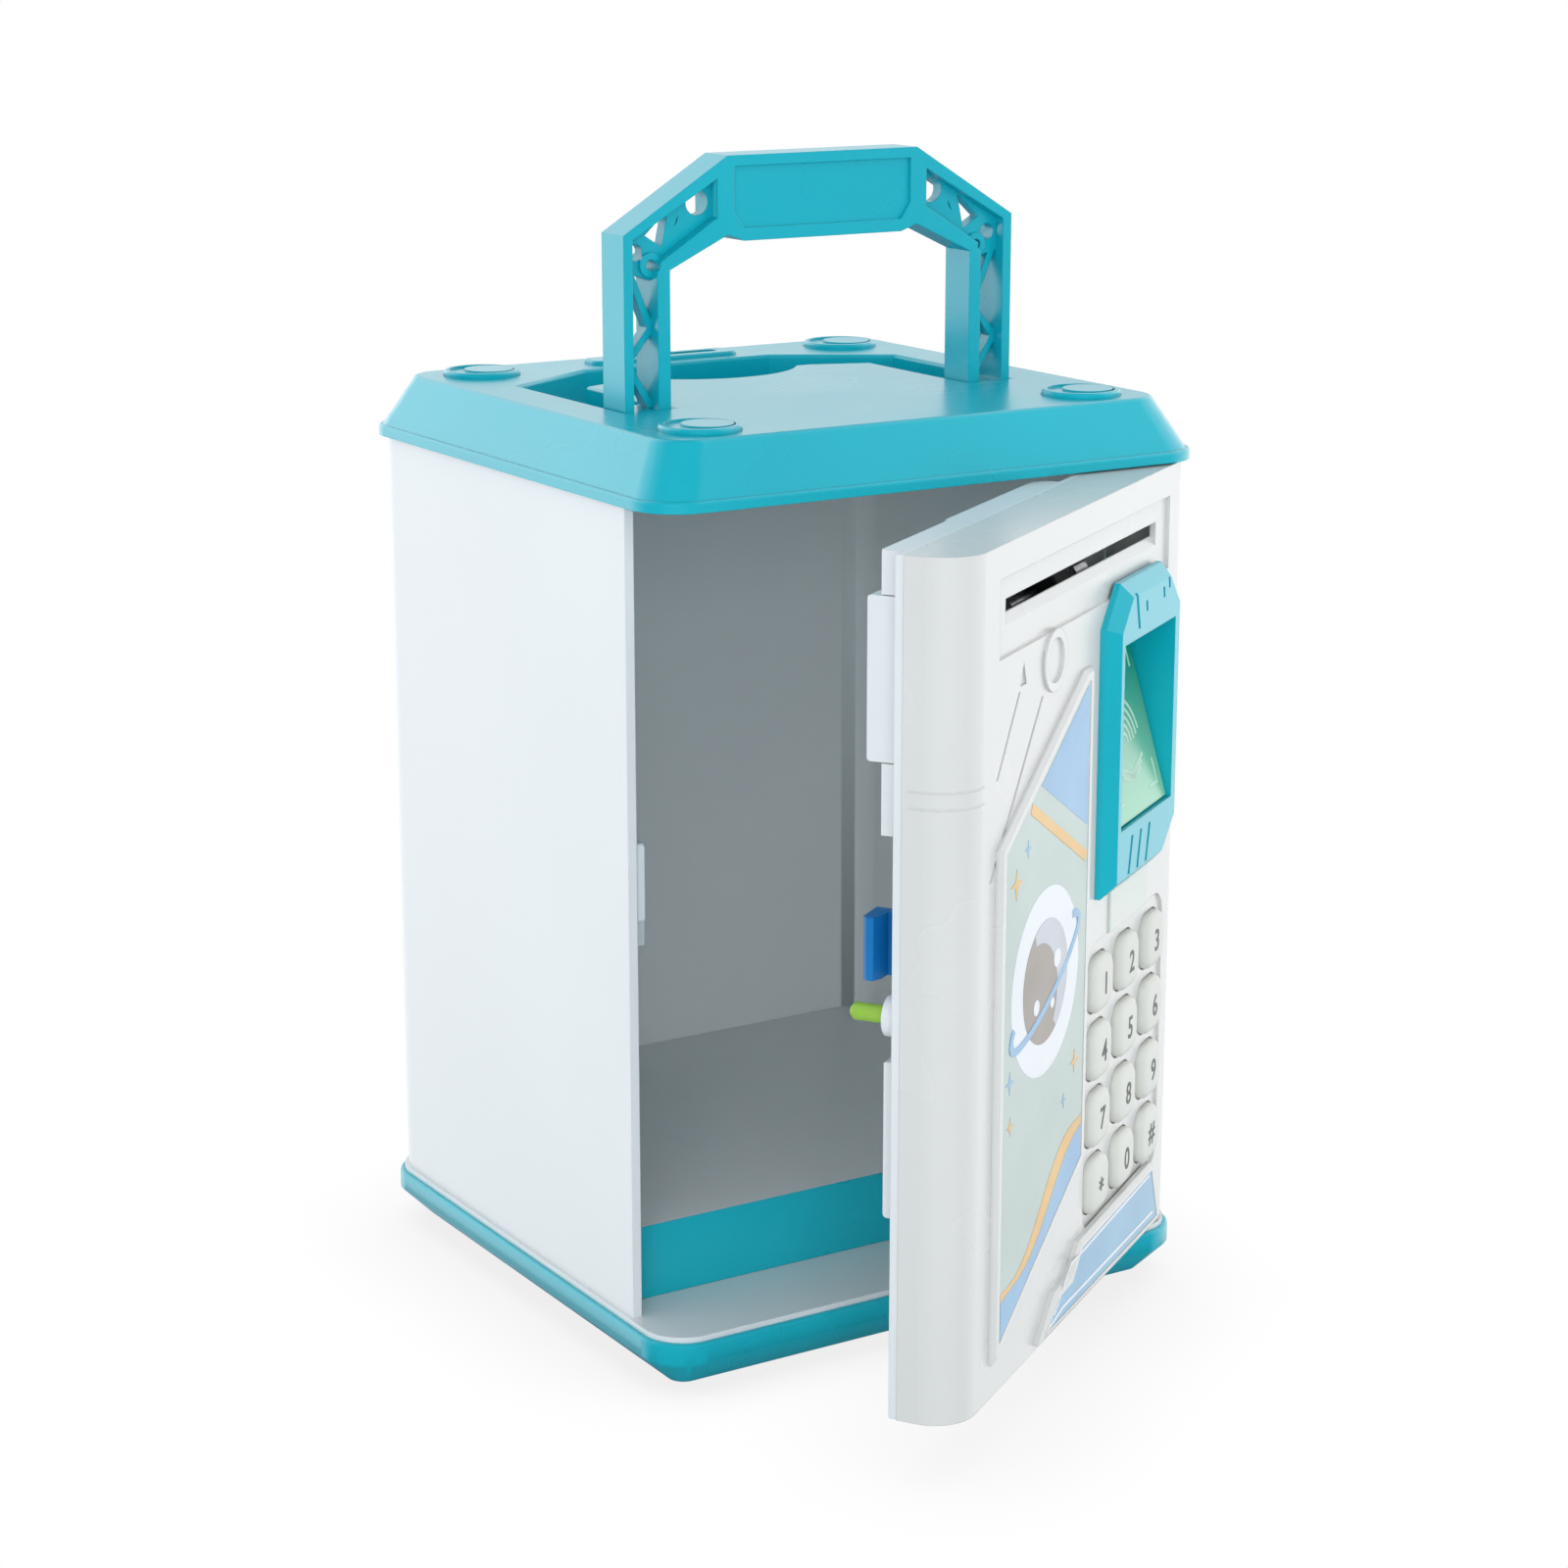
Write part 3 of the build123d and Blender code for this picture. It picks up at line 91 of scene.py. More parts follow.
def material(name):
    """An empty material with its shader and its Object coordinates."""
    made = bpy.data.materials.new(name)
    made.use_nodes = True
    tree = made.node_tree
    tree.nodes.clear()
    shader = tree.nodes.new("ShaderNodeBsdfPrincipled")
    out = tree.nodes.new("ShaderNodeOutputMaterial")
    tree.links.new(shader.outputs["BSDF"], out.inputs["Surface"])
    place = tree.nodes.new("ShaderNodeTexCoord").outputs["Object"]
    return made, tree, shader, place


def noise(tree, place, size_mm, detail=3.0, rough=0.5):
    """A noise whose grains are about size_mm across."""
    made = node(tree, "ShaderNodeTexNoise", Vector=place, Scale=1 / (size_mm * MM), Detail=detail,
                Roughness=rough)
    return made.outputs["Fac"]


def tone(tree, shader, factor, dark, light):
    """Drives the base colour between two hex colours."""
    ramp = node(tree, "ShaderNodeValToRGB", Fac=factor)
    ramp.color_ramp.elements[0].position = 0.3
    ramp.color_ramp.elements[0].color = linear(dark)
    ramp.color_ramp.elements[1].position = 0.7
    ramp.color_ramp.elements[1].color = linear(light)
    tree.links.new(ramp.outputs["Color"], shader.inputs["Base Color"])


def grain(tree, shader, place, size_mm, depth_mm, edge_mm=0.3):
    """Fine surface grain over softly broken edges."""
    edge = node(tree, "ShaderNodeBevel", {"samples": 4}, Radius=edge_mm * MM)
    bump = node(tree, "ShaderNodeBump", Height=noise(tree, place, size_mm), Distance=depth_mm * MM,
                Strength=1.0, Normal=edge.outputs["Normal"])
    tree.links.new(bump.outputs["Normal"], shader.inputs["Normal"])


def gloss(tree, shader, place, low, high, size_mm=30.0):
    """Roughness that wanders between two values, as handled plastic does."""
    spread = node(tree, "ShaderNodeMapRange", Value=noise(tree, place, size_mm, 2.0), To_Min=low, To_Max=high)
    tree.links.new(spread.outputs["Result"], shader.inputs["Roughness"])


# Materials


def moulded_abs(name, dark, light, low, high, edge=0.3, glow=0.0):
    """Injection-moulded ABS: even colour, satin gloss and the faint grain of a spark-finished mould."""
    made, tree, shader, place = material(name)
    tone(tree, shader, noise(tree, place, 60.0), dark, light)
    gloss(tree, shader, place, low, high)
    # The real grain is about 0.1 mm; drawn at 0.5 mm so that it shows
    grain(tree, shader, place, 0.5, 0.0025, edge)
    shader.inputs["IOR"].default_value = 1.53
    if glow:
        shader.inputs["Subsurface Weight"].default_value = glow
        shader.inputs["Subsurface Scale"].default_value = 0.002
    return made


def printed_film(name, dark, light, rough=0.3):
    """Printed vinyl label: flat ink under a thin gloss film."""
    made, tree, shader, place = material(name)
    tone(tree, shader, noise(tree, place, 22.0), dark, light)
    gloss(tree, shader, place, rough - 0.05, rough + 0.08)
    # Halftone of the print, 0.25 mm apart, drawn as a faint relief
    grain(tree, shader, place, 0.25, 0.002, 0.1)
    shader.inputs["Coat Weight"].default_value = 0.1
    return made


def ink(name, colour):
    """Pad-printed ink: one even colour, matt and faintly rough."""
    made, tree, shader, place = material(name)
    shader.inputs["Base Color"].default_value = linear(colour)
    gloss(tree, shader, place, 0.45, 0.6, 3.0)
    grain(tree, shader, place, 0.3, 0.004, 0.05)
    return made


def silicone(name, dark, light):
    """Silicone rubber: matt, soft-looking, with a dusty bloom."""
    made, tree, shader, place = material(name)
    tone(tree, shader, noise(tree, place, 8.0), dark, light)
    gloss(tree, shader, place, 0.62, 0.8, 6.0)
    grain(tree, shader, place, 0.4, 0.01, 0.3)
    return made


def plated_steel(name):
    """Zinc-plated steel: grey metal with fine turning marks."""
    made, tree, shader, place = material(name)
    tone(tree, shader, noise(tree, place, 3.0), "#8F9296", "#B9BCC0")
    shader.inputs["Metallic"].default_value = 1.0
    gloss(tree, shader, place, 0.28, 0.42, 2.0)
    grain(tree, shader, place, 0.2, 0.003, 0.15)
    return made


def pad_print():
    """Gloss-printed sensor plate: deep green at its head, pale green at its foot."""
    made, tree, shader, place = material("sensor_pad_print")
    height = node(tree, "ShaderNodeSeparateXYZ", Vector=place)
    along = node(tree, "ShaderNodeMapRange", Value=height.outputs["Z"])
    along.inputs["From Min"].default_value = 114 * MM
    along.inputs["From Max"].default_value = 151 * MM
    ramp = node(tree, "ShaderNodeValToRGB", Fac=along.outputs["Result"])
    ramp.color_ramp.elements[0].color = linear("#8FD3AE")
    ramp.color_ramp.elements[1].color = linear("#0B9E80")
    ramp.color_ramp.elements[1].position = 0.8
    tree.links.new(ramp.outputs["Color"], shader.inputs["Base Color"])
    gloss(tree, shader, place, 0.2, 0.3)
    grain(tree, shader, place, 0.4, 0.003, 0.3)
    return made


def circuit_board():
    """Glass-epoxy board under green solder mask."""
    made, tree, shader, place = material("solder_mask_board")
    tone(tree, shader, noise(tree, place, 2.0), "#0E4A2B", "#14623A")
    gloss(tree, shader, place, 0.3, 0.5, 2.0)
    grain(tree, shader, place, 0.6, 0.02, 0.1)
    return made


TURQUOISE = moulded_abs("turquoise_moulded_abs", "#04B0C0", "#08B9C9", 0.24, 0.32)
WHITE = moulded_abs("white_moulded_abs", "#E8EAE9", "#ECEEED", 0.28, 0.34)
DOOR_WHITE = moulded_abs("door_white_moulded_abs", "#DEDCD7", "#E3E1DC", 0.25, 0.29)
KEY_WHITE = moulded_abs("key_white_moulded_abs", "#DBDAD0", "#E3E2D8", 0.34, 0.46, 0.5, 0.06)
CLEAR_WHITE = moulded_abs("translucent_white_pp", "#DDE3E4", "#E8ECEC", 0.3, 0.4, 0.3, 0.3)
MILKY = moulded_abs("milky_light_window", "#D3D9CF", "#DDE2D9", 0.22, 0.3, 0.3, 0.2)
HOOK_BLUE = moulded_abs("blue_moulded_pom", "#0E6FB4", "#1682C8", 0.24, 0.34)
PLUNGER_GREEN = moulded_abs("green_moulded_pom", "#8FBF3C", "#A3CE50", 0.26, 0.36)
DARK = moulded_abs("black_moulded_abs", "#17181A", "#222326", 0.4, 0.55)
GROUND = printed_film("pale_label_film", "#B0C0B9", "#BBCBC3")
LABEL_BLUE = printed_film("blue_label_film", "#72A9C9", "#80B5D2")
PRINT_BLUE = printed_film("blue_print_film", "#6FA6CE", "#86B7DA")
PRINT_ORANGE = printed_film("orange_print_film", "#DFA94E", "#EBBB66")
PRINT_WHITE = printed_film("white_print_film", "#E4E7EA", "#F0F2F4")
PRINT_GREY = printed_film("grey_print_film", "#B3B6BF", "#C9CCD4")
PRINT_BROWN = printed_film("brown_print_film", "#80746A", "#94887C")
KEY_INK = ink("grey_key_ink", "#5A5C5A")
PAD_INK = ink("pale_green_ink", "#BFE6CE")
RUBBER = silicone("black_silicone_rubber", "#101112", "#1B1C1E")
GREY_RUBBER = silicone("grey_silicone_rubber", "#77797A", "#86888A")
STEEL = plated_steel("zinc_plated_steel")
PAD_GREEN = pad_print()
BOARD = circuit_board()

FINISHES = {
    TURQUOISE: ("base_tray", "riser_strip", "lid", "corner_plugs", "handle", "sensor_bezel"),
    WHITE: ("case_shell", "floor_panel", "door_back", "feed_cover", "feed_frame", "battery_cover"),
    DOOR_WHITE: ("door_front", "picture_panel", "lower_panel"),
    CLEAR_WHITE: ("keeper",),
    MILKY: ("indicator_window",),
    GROUND: ("picture_label",),
    LABEL_BLUE: ("lower_label",),
    PAD_GREEN: ("finger_pad",),
    HOOK_BLUE: ("latch_hook",),
    PLUNGER_GREEN: ("plunger",),
    RUBBER: ("feet", "feed_rollers"),
    GREY_RUBBER: ("key_mat",),
    BOARD: ("keypad_board", "main_board"),
    DARK: ("speaker", "door_switch", "battery_cells"),
    STEEL: ("handle_pins", "hinge_pins", "feed_shaft", "feed_motor", "latch_solenoid", "battery_contacts"),
}

# Dressing of the CAD pieces

BODY_OF = {}
for body, members in frame["record"]["behaviour"]["bodies"].items():
    for member in members:
        BODY_OF[member] = body


def settle(obj, finish, body):
    """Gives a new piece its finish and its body."""
    if obj.name not in bpy.context.scene.collection.objects:
        bpy.context.scene.collection.objects.link(obj)
    obj.data.materials.clear()
    obj.data.materials.append(finish)
    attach(obj, body)
    return obj


def smooth(mesh, angle=27.0):
    """Smooth shading that breaks at real edges."""
    mesh.shade_smooth()
    mesh.set_sharp_from_angle(angle=math.radians(angle))


def dress(name, finish):
    """A merged copy of a CAD piece, smooth over its rounds, that stands for it."""
    mesh = bpy.data.meshes.new(name + "_skin")
    work = bmesh.new()
    work.from_mesh(frame["nodes"][name].data)
    bmesh.ops.remove_doubles(work, verts=work.verts, dist=2e-6)
    bmesh.ops.dissolve_limit(work, angle_limit=math.radians(0.4), verts=work.verts, edges=work.edges)
    work.to_mesh(mesh)
    work.free()
    smooth(mesh)
    made = bpy.data.objects.new(name + "_skin", mesh)
    weigh = made.modifiers.new("even_flats", "WEIGHTED_NORMAL")
    weigh.keep_sharp = True
    settle(made, finish, BODY_OF[name])
    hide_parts(name)
    return made


for finish, names in FINISHES.items():
    for name in names:
        dress(name, finish)


# The riser's own facing, which runs up over the front edge of the raised floor
RISER = ((-62.3, 62.3), (-40.65, -40.4), (13.25, 29.15))
facing_mesh = bpy.data.meshes.new("riser_facing")
facing_work = bmesh.new()
bmesh.ops.create_cube(facing_work, size=1.0)
for v in facing_work.verts:
    v.co = Vector([(low + high) / 2 + side * (high - low) for side, (low, high) in zip(v.co, RISER)]) * MM
facing_work.to_mesh(facing_mesh)
facing_work.free()
settle(bpy.data.objects.new("riser_facing", facing_mesh), TURQUOISE, "case")


# Shapes on the door


def on_door(u, y, z):
    """A point u from the hinge axis, at depth y and height z, all in mm, as a place in metres."""
    x = AXIS_X - u * math.cos(DOOR_OPEN) - y * math.sin(DOOR_OPEN)
    return Vector((x, AXIS_Y - u * math.sin(DOOR_OPEN) + y * math.cos(DOOR_OPEN), z)) * MM


def slab(work, points, depth, thick):
    """Adds a flat outline (u, z) to a mesh at a depth of the door, standing thick proud of it."""
    back = [work.verts.new(on_door(u, depth, z)) for u, z in points]
    front = [work.verts.new(on_door(u, depth - thick, z)) for u, z in points]
    work.faces.new(front)
    work.faces.new(back[::-1])
    for i in range(len(points)):
        j = (i + 1) % len(points)
        work.faces.new((back[i], back[j], front[j], front[i]))


def print_on(name, outlines, depth, finish, thick=0.06, body="door"):
    """Printed shapes: thin slabs at one depth of the door."""
    work = bmesh.new()
    for points in outlines:
        slab(work, points, depth, thick)
    bmesh.ops.recalc_face_normals(work, faces=work.faces)
    mesh = bpy.data.meshes.new(name)
    work.to_mesh(mesh)
    work.free()
    return settle(bpy.data.objects.new(name, mesh), finish, body)


def disc(u, z, radius, squash=1.0, tilt=0.0, steps=48):
    """A circle or tilted ellipse as an outline."""
    found = []
    for i in range(steps):
        a = 2 * math.pi * i / steps
        p, q = radius * math.cos(a), radius * squash * math.sin(a)
        found.append((u + p * math.cos(tilt) - q * math.sin(tilt),
                      z + p * math.sin(tilt) + q * math.cos(tilt)))
    return found


def band(points, width):
    """A line of one width through the given points, with mitred corners."""
    left, right = [], []
    for i, point in enumerate(points):
        before = Vector(points[max(i - 1, 0)])
        after = Vector(points[min(i + 1, len(points) - 1)])
        along = (after - before).normalized()
        across = Vector((-along.y, along.x)) * width / 2
        left.append(tuple(Vector(point) + across))
        right.append(tuple(Vector(point) - across))
    return left + right[::-1]


def arc(u, z, radius, start, end, steps=24):
    """Points along an arc, angles in degrees."""
    spread = [math.radians(start + (end - start) * i / steps) for i in range(steps + 1)]
    return [(u + radius * math.cos(a), z + radius * math.sin(a)) for a in spread]


def star(u, z, reach):
    """A four-pointed sparkle."""
    found = []
    for i in range(8):
        r = reach if i % 2 == 0 else reach * 0.28
        a = math.pi / 4 * i + math.pi / 2
        found.append((u + r * math.cos(a), z + r * math.sin(a)))
    return found


def wave(left, right, top, fall, swell, lead=0.0, steps=20):
    """The top edge of a wave that falls from left to right."""
    return [(left + (right - left) * t / steps,
             top - fall * t + swell * math.sin(t / steps * 2 * math.pi + lead)) for t in range(steps + 1)]


# Printed picture: a ringed planet, sparkles and waves of the label's own colours
LABEL_TOP = PANEL_TOP + 0.1
LABEL_NEAR, LABEL_FAR = 57.3, 102.3
PLANET = (80.0, 92.0)
PLANET_RADIUS = 12.5
RING_TILT = math.radians(-24)
RING_REACH, RING_RISE = 20.5, 5.0


def planet_ring():
    """The part of the ring that passes before the planet."""
    found = []
    for i in range(41):
        a = math.radians(150 + 6 * i)
        p, q = RING_REACH * math.cos(a), RING_RISE * math.sin(a)
        found.append((PLANET[0] + p * math.cos(RING_TILT) - q * math.sin(RING_TILT),
                      PLANET[1] + p * math.sin(RING_TILT) + q * math.cos(RING_TILT)))
    return band(found, 1.6)


def picture_print():
    """Lays the generic picture on the upper label, one ink above the other."""
    lit_side = arc(*PLANET, PLANET_RADIUS, 60, 240)
    lit_side += arc(PLANET[0] + 4.5, PLANET[1] - 2.6, 11.2, 216, 84)
    orange_wave = [(LABEL_NEAR, 57.5)] + wave(LABEL_NEAR, LABEL_FAR, 57.0, 1.1, 3.4)
    orange_wave += [(LABEL_FAR, 27.2), (LABEL_NEAR, 50.6)]
    blue_wave = wave(LABEL_NEAR, LABEL_FAR, 53.5, 1.1, 2.6, 0.7)
    blue_wave += [(LABEL_FAR, 25.2), (LABEL_NEAR, 48.2)]
    craters = [disc(85.0, 88.0, 1.6), disc(76.0, 86.5, 1.1), disc(73.5, 95.0, 1.9)]
    sparkles = [star(97.0, 116.0, 3.2), star(62.0, 70.0, 2.6), star(98.5, 68.0, 2.0)]
    blue_sparkles = [star(91.0, 121.5, 1.8), star(68.0, 63.5, 1.6), star(99.0, 77.0, 2.4)]
    shapes = (
        ("print_sky", PRINT_BLUE, 0.04, [((57.2, 146.4), (58.0, 146.4), (84.0, 132.2), (57.2, 118.0))]),
        ("print_sky_edge", PRINT_ORANGE, 0.07, [band([(89.5, 129.0), (57.3, 111.5)], 2.2)]),
        ("print_halo", PRINT_WHITE, 0.04, [disc(*PLANET, 19.0)]),
        ("print_planet", PRINT_BROWN, 0.08, [disc(*PLANET, PLANET_RADIUS)]),
        ("print_planet_light", PRINT_GREY, 0.11, [lit_side]),
        ("print_ring", PRINT_BLUE, 0.14, [planet_ring()]),
        ("print_craters", PRINT_WHITE, 0.13, craters),
        ("print_sparkles", PRINT_ORANGE, 0.06, sparkles),
        ("print_sparkles_blue", PRINT_BLUE, 0.06, blue_sparkles),
        ("print_wave_orange", PRINT_ORANGE, 0.05, [orange_wave]),
        ("print_wave_blue", PRINT_BLUE, 0.08, [blue_wave]),
    )
    for name, finish, proud, outlines in shapes:
        print_on(name, outlines, LABEL_TOP, finish, proud)


picture_print()

# Pin stripes on the lower label
STRIPES = (((72.0, 19.0), (62.0, 26.4), (12.0, 28.2)), ((77.0, 16.9), (66.5, 18.8), (9.0, 18.8)))
print_on("lower_stripes", [band(line, 0.7) for line in STRIPES], LOWER_TOP + 0.1, PRINT_WHITE)


# Soft key caps: a flange behind the skin, a straight neck and a pillow top
KEY_HALF_WIDE, KEY_HALF_TALL, KEY_CORNER, KEY_LEAST_CORNER = 6.2, 6.0, 4.2, 0.8
# Inset from the key's outline, and depth, of each ring from back to front
KEY_RINGS = ((-0.8, -5.5), (-0.8, -6.3), (0.0, -6.3), (0.0, -8.7), (0.12, -9.05), (0.4, -9.4), (0.85, -9.68),
             (1.5, -9.88), (2.4, -10.0), (3.6, -10.05))


def rounded(half_wide, half_tall, radius, steps=7):
    """A rounded rectangle as (u, z) points about its centre."""
    found = []
    for quarter, (su, sz) in enumerate(((1, 1), (-1, 1), (-1, -1), (1, -1))):
        for i in range(steps + 1):
            a = math.pi / 2 * (quarter + i / steps)
            found.append((su * (half_wide - radius) + radius * math.cos(a),
                          sz * (half_tall - radius) + radius * math.sin(a)))
    return found


def pillow_key(name, u, z):
    """A key cap that stands for its CAD piece."""
    work = bmesh.new()
    rings = []
    for inset, depth in KEY_RINGS:
        corner = max(KEY_CORNER - inset, KEY_LEAST_CORNER)
        outline = rounded(KEY_HALF_WIDE - inset, KEY_HALF_TALL - inset, corner)
        rings.append([work.verts.new(on_door(u + p, depth, z + q)) for p, q in outline])
    for low, high in zip(rings, rings[1:]):
        for i in range(len(low)):
            j = (i + 1) % len(low)
            work.faces.new((low[i], low[j], high[j], high[i]))
    work.faces.new(rings[0][::-1])
    work.faces.new(rings[-1])
    bmesh.ops.recalc_face_normals(work, faces=work.faces)
    mesh = bpy.data.meshes.new(name + "_cap")
    work.to_mesh(mesh)
    work.free()
    smooth(mesh, 40.0)
    made = settle(bpy.data.objects.new(name + "_cap", mesh), KEY_WHITE, name)
    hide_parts(name)


# Key legends
LEGENDS = (("*", "key_star"), ("0", "key_0"), ("#", "key_hash"),
           ("7", "key_7"), ("8", "key_8"), ("9", "key_9"),
           ("4", "key_4"), ("5", "key_5"), ("6", "key_6"),
           ("1", "key_1"), ("2", "key_2"), ("3", "key_3"))
LEGEND_SIZE = 6.6
LEGEND_WEIGHT = 0.1


def legend(sign, key, u, z):
    """One sign printed on the top of its key."""
    curve = bpy.data.curves.new(key + "_legend", "FONT")
    curve.body = sign
    curve.size = LEGEND_SIZE * MM
    curve.align_x = "CENTER"
    curve.extrude = 0.03 * MM
    curve.offset = LEGEND_WEIGHT * MM
    flat = bpy.data.objects.new(key + "_flat", curve)
    bpy.context.scene.collection.objects.link(flat)
    bpy.context.view_layer.update()
    mesh = bpy.data.meshes.new_from_object(flat.evaluated_get(bpy.context.evaluated_depsgraph_get()))
    bpy.data.objects.remove(flat)
    low = min(v.co.y for v in mesh.vertices)
    high = max(v.co.y for v in mesh.vertices)
    mid = sum((min(v.co.x for v in mesh.vertices), max(v.co.x for v in mesh.vertices))) / 2
    for v in mesh.vertices:
        x, y, rise = (v.co.x - mid) / MM, (v.co.y - (low + high) / 2) / MM, v.co.z / MM
        v.co = on_door(u - x, KEY_TOP - 0.02 - rise, z + y)
    mesh.name = key + "_legend"
    made = bpy.data.objects.new(key + "_legend", mesh)
    return settle(made, KEY_INK, key)


for index, (sign, key) in enumerate(LEGENDS):
    spot = (KEY_CENTRE + (1 - index % 3) * KEY_COLUMN, KEY_LOW + index // 3 * KEY_ROW)
    pillow_key(key, *spot)
    legend(sign, key, *spot)


# Two fine moulded ridges round the door's free edge, where the long groove ends
EDGE_MIDDLE, EDGE_ROUND, EDGE_END = 111.65, -DOOR_FACE, 3.0
RIDGE_HEIGHTS = (138.4, 135.2)
RIDGE_SUNK, RIDGE_PROUD = -0.1, 0.16


def edge_path(proud):
    """Places (u, y) round the free edge, from the flat front to the side face."""
    reach = EDGE_ROUND + proud
    turn = [math.radians(90 * i / 12) for i in range(13)]
    round_part = [(EDGE_MIDDLE + reach * math.sin(a), -reach * math.cos(a)) for a in turn]
    return round_part + [(EDGE_MIDDLE + reach, EDGE_END)]


def edge_ridges():
    """Ridges at the top and foot of the band."""
    work = bmesh.new()
    for z in RIDGE_HEIGHTS:
        path, proud = edge_path(RIDGE_SUNK), edge_path(RIDGE_PROUD)
        rows = [[work.verts.new(on_door(u, y, h)) for u, y in line]
                for line, h in ((path, z + 0.3), (proud, z + 0.1), (proud, z - 0.1), (path, z - 0.3))]
        for a, b in zip(rows, rows[1:] + rows[:1]):
            for i in range(len(a) - 1):
                work.faces.new((a[i], a[i + 1], b[i + 1], b[i]))
        for end in (0, -1):
            work.faces.new([row[end] for row in rows])
    bmesh.ops.recalc_face_normals(work, faces=work.faces)
    mesh = bpy.data.meshes.new("edge_ridges")
    work.to_mesh(mesh)
    work.free()
    smooth(mesh, 50.0)
    settle(bpy.data.objects.new("edge_ridges", mesh), DOOR_WHITE, "door")


edge_ridges()


# Sensor pad: ridges of a fingertip and four corner marks, raised on the sloping plate
PAD_FOOT = (BEZEL_TOP + 1.0, 113.45)
PAD_SLOPE = math.tan(math.radians(15.5))
PAD_MID = (27.3, 131.0)


def pad_mark(name, lines, width):
    """Raised lines that lie on the sloping plate."""
    work = bmesh.new()
    for line in lines:
        slab(work, band(line, width), 0.0, 0.06)
    for v in work.verts:
        z = v.co.z / MM
        slide = PAD_FOOT[0] + (z - PAD_FOOT[1]) * PAD_SLOPE
        v.co += (on_door(0, slide, 0) - on_door(0, 0, 0))
    bmesh.ops.recalc_face_normals(work, faces=work.faces)
    mesh = bpy.data.meshes.new(name)
    work.to_mesh(mesh)
    work.free()
    return settle(bpy.data.objects.new(name, mesh), PAD_INK, "finger_pad")


u0, z0 = PAD_MID
ridges = [arc(u0, z0 - 3.0, r, -20 + 3 * r, 200 - 3 * r, 20) for r in (1.6, 3.4, 5.2, 7.0, 8.8)]
for i in range(3):
    wide, drop = 8.0 - 1.2 * i, 7.0 + 1.2 * i
    ridges.append([(u0 - wide, z0 - drop), (u0, z0 - 9.6 - 0.6 * i), (u0 + wide, z0 - drop)])
pad_mark("pad_ridges", ridges, 0.8)
corners = []
for su in (-1, 1):
    for sz in (-1, 1):
        u1, z1 = u0 + su * 12.5, z0 + 0.5 + sz * 14.5
        corners.append([(u1 - su * 5.0, z1), (u1, z1), (u1, z1 - sz * 5.0)])
pad_mark("pad_corners", corners, 0.9)


# Cross-head screws, set by one tree of geometry nodes


def screw_head_mesh(radius, rise):
    """A pan head with a cross recess, along +Z, in mm."""
    work = bmesh.new()
    rings = ((radius, 0.0), (radius, rise * 0.45), (radius * 0.86, rise * 0.82), (radius * 0.6, rise))
    steps = 32
    turns = [2 * math.pi * i / steps for i in range(steps)]
    loops = []
    for r, z in rings:
        loops.append([work.verts.new((r * math.cos(a) * MM, r * math.sin(a) * MM, z * MM)) for a in turns])
    for low, high in zip(loops, loops[1:]):
        for i in range(steps):
            j = (i + 1) % steps
            work.faces.new((low[i], low[j], high[j], high[i]))
    arm, half = radius * 0.52, radius * 0.13
    cross = []
    for quarter in range(4):
        a = math.pi / 2 * quarter
        for x, y in ((half, half), (arm, half), (arm, -half)):
            cross.append((x * math.cos(a) + y * math.sin(a), -x * math.sin(a) + y * math.cos(a)))
    top = [work.verts.new((x * MM, y * MM, rise * MM)) for x, y in cross]
    deep = [work.verts.new((x * 0.5 * MM, y * 0.5 * MM, rise * 0.25 * MM)) for x, y in cross]
    for i in range(len(cross)):
        j = (i + 1) % len(cross)
        work.faces.new((top[i], top[j], deep[j], deep[i]))
    work.faces.new(deep)
    edges = [work.edges.get((loops[-1][i], loops[-1][(i + 1) % steps])) for i in range(steps)]
    edges += [work.edges.get((top[i], top[(i + 1) % len(top)])) for i in range(len(top))]
    bmesh.ops.triangle_fill(work, edges=edges, use_beauty=True)
    work.faces.new(loops[0][::-1])
    bmesh.ops.recalc_face_normals(work, faces=work.faces)
    mesh = bpy.data.meshes.new("screw_head")
    work.to_mesh(mesh)
    work.free()
    return mesh


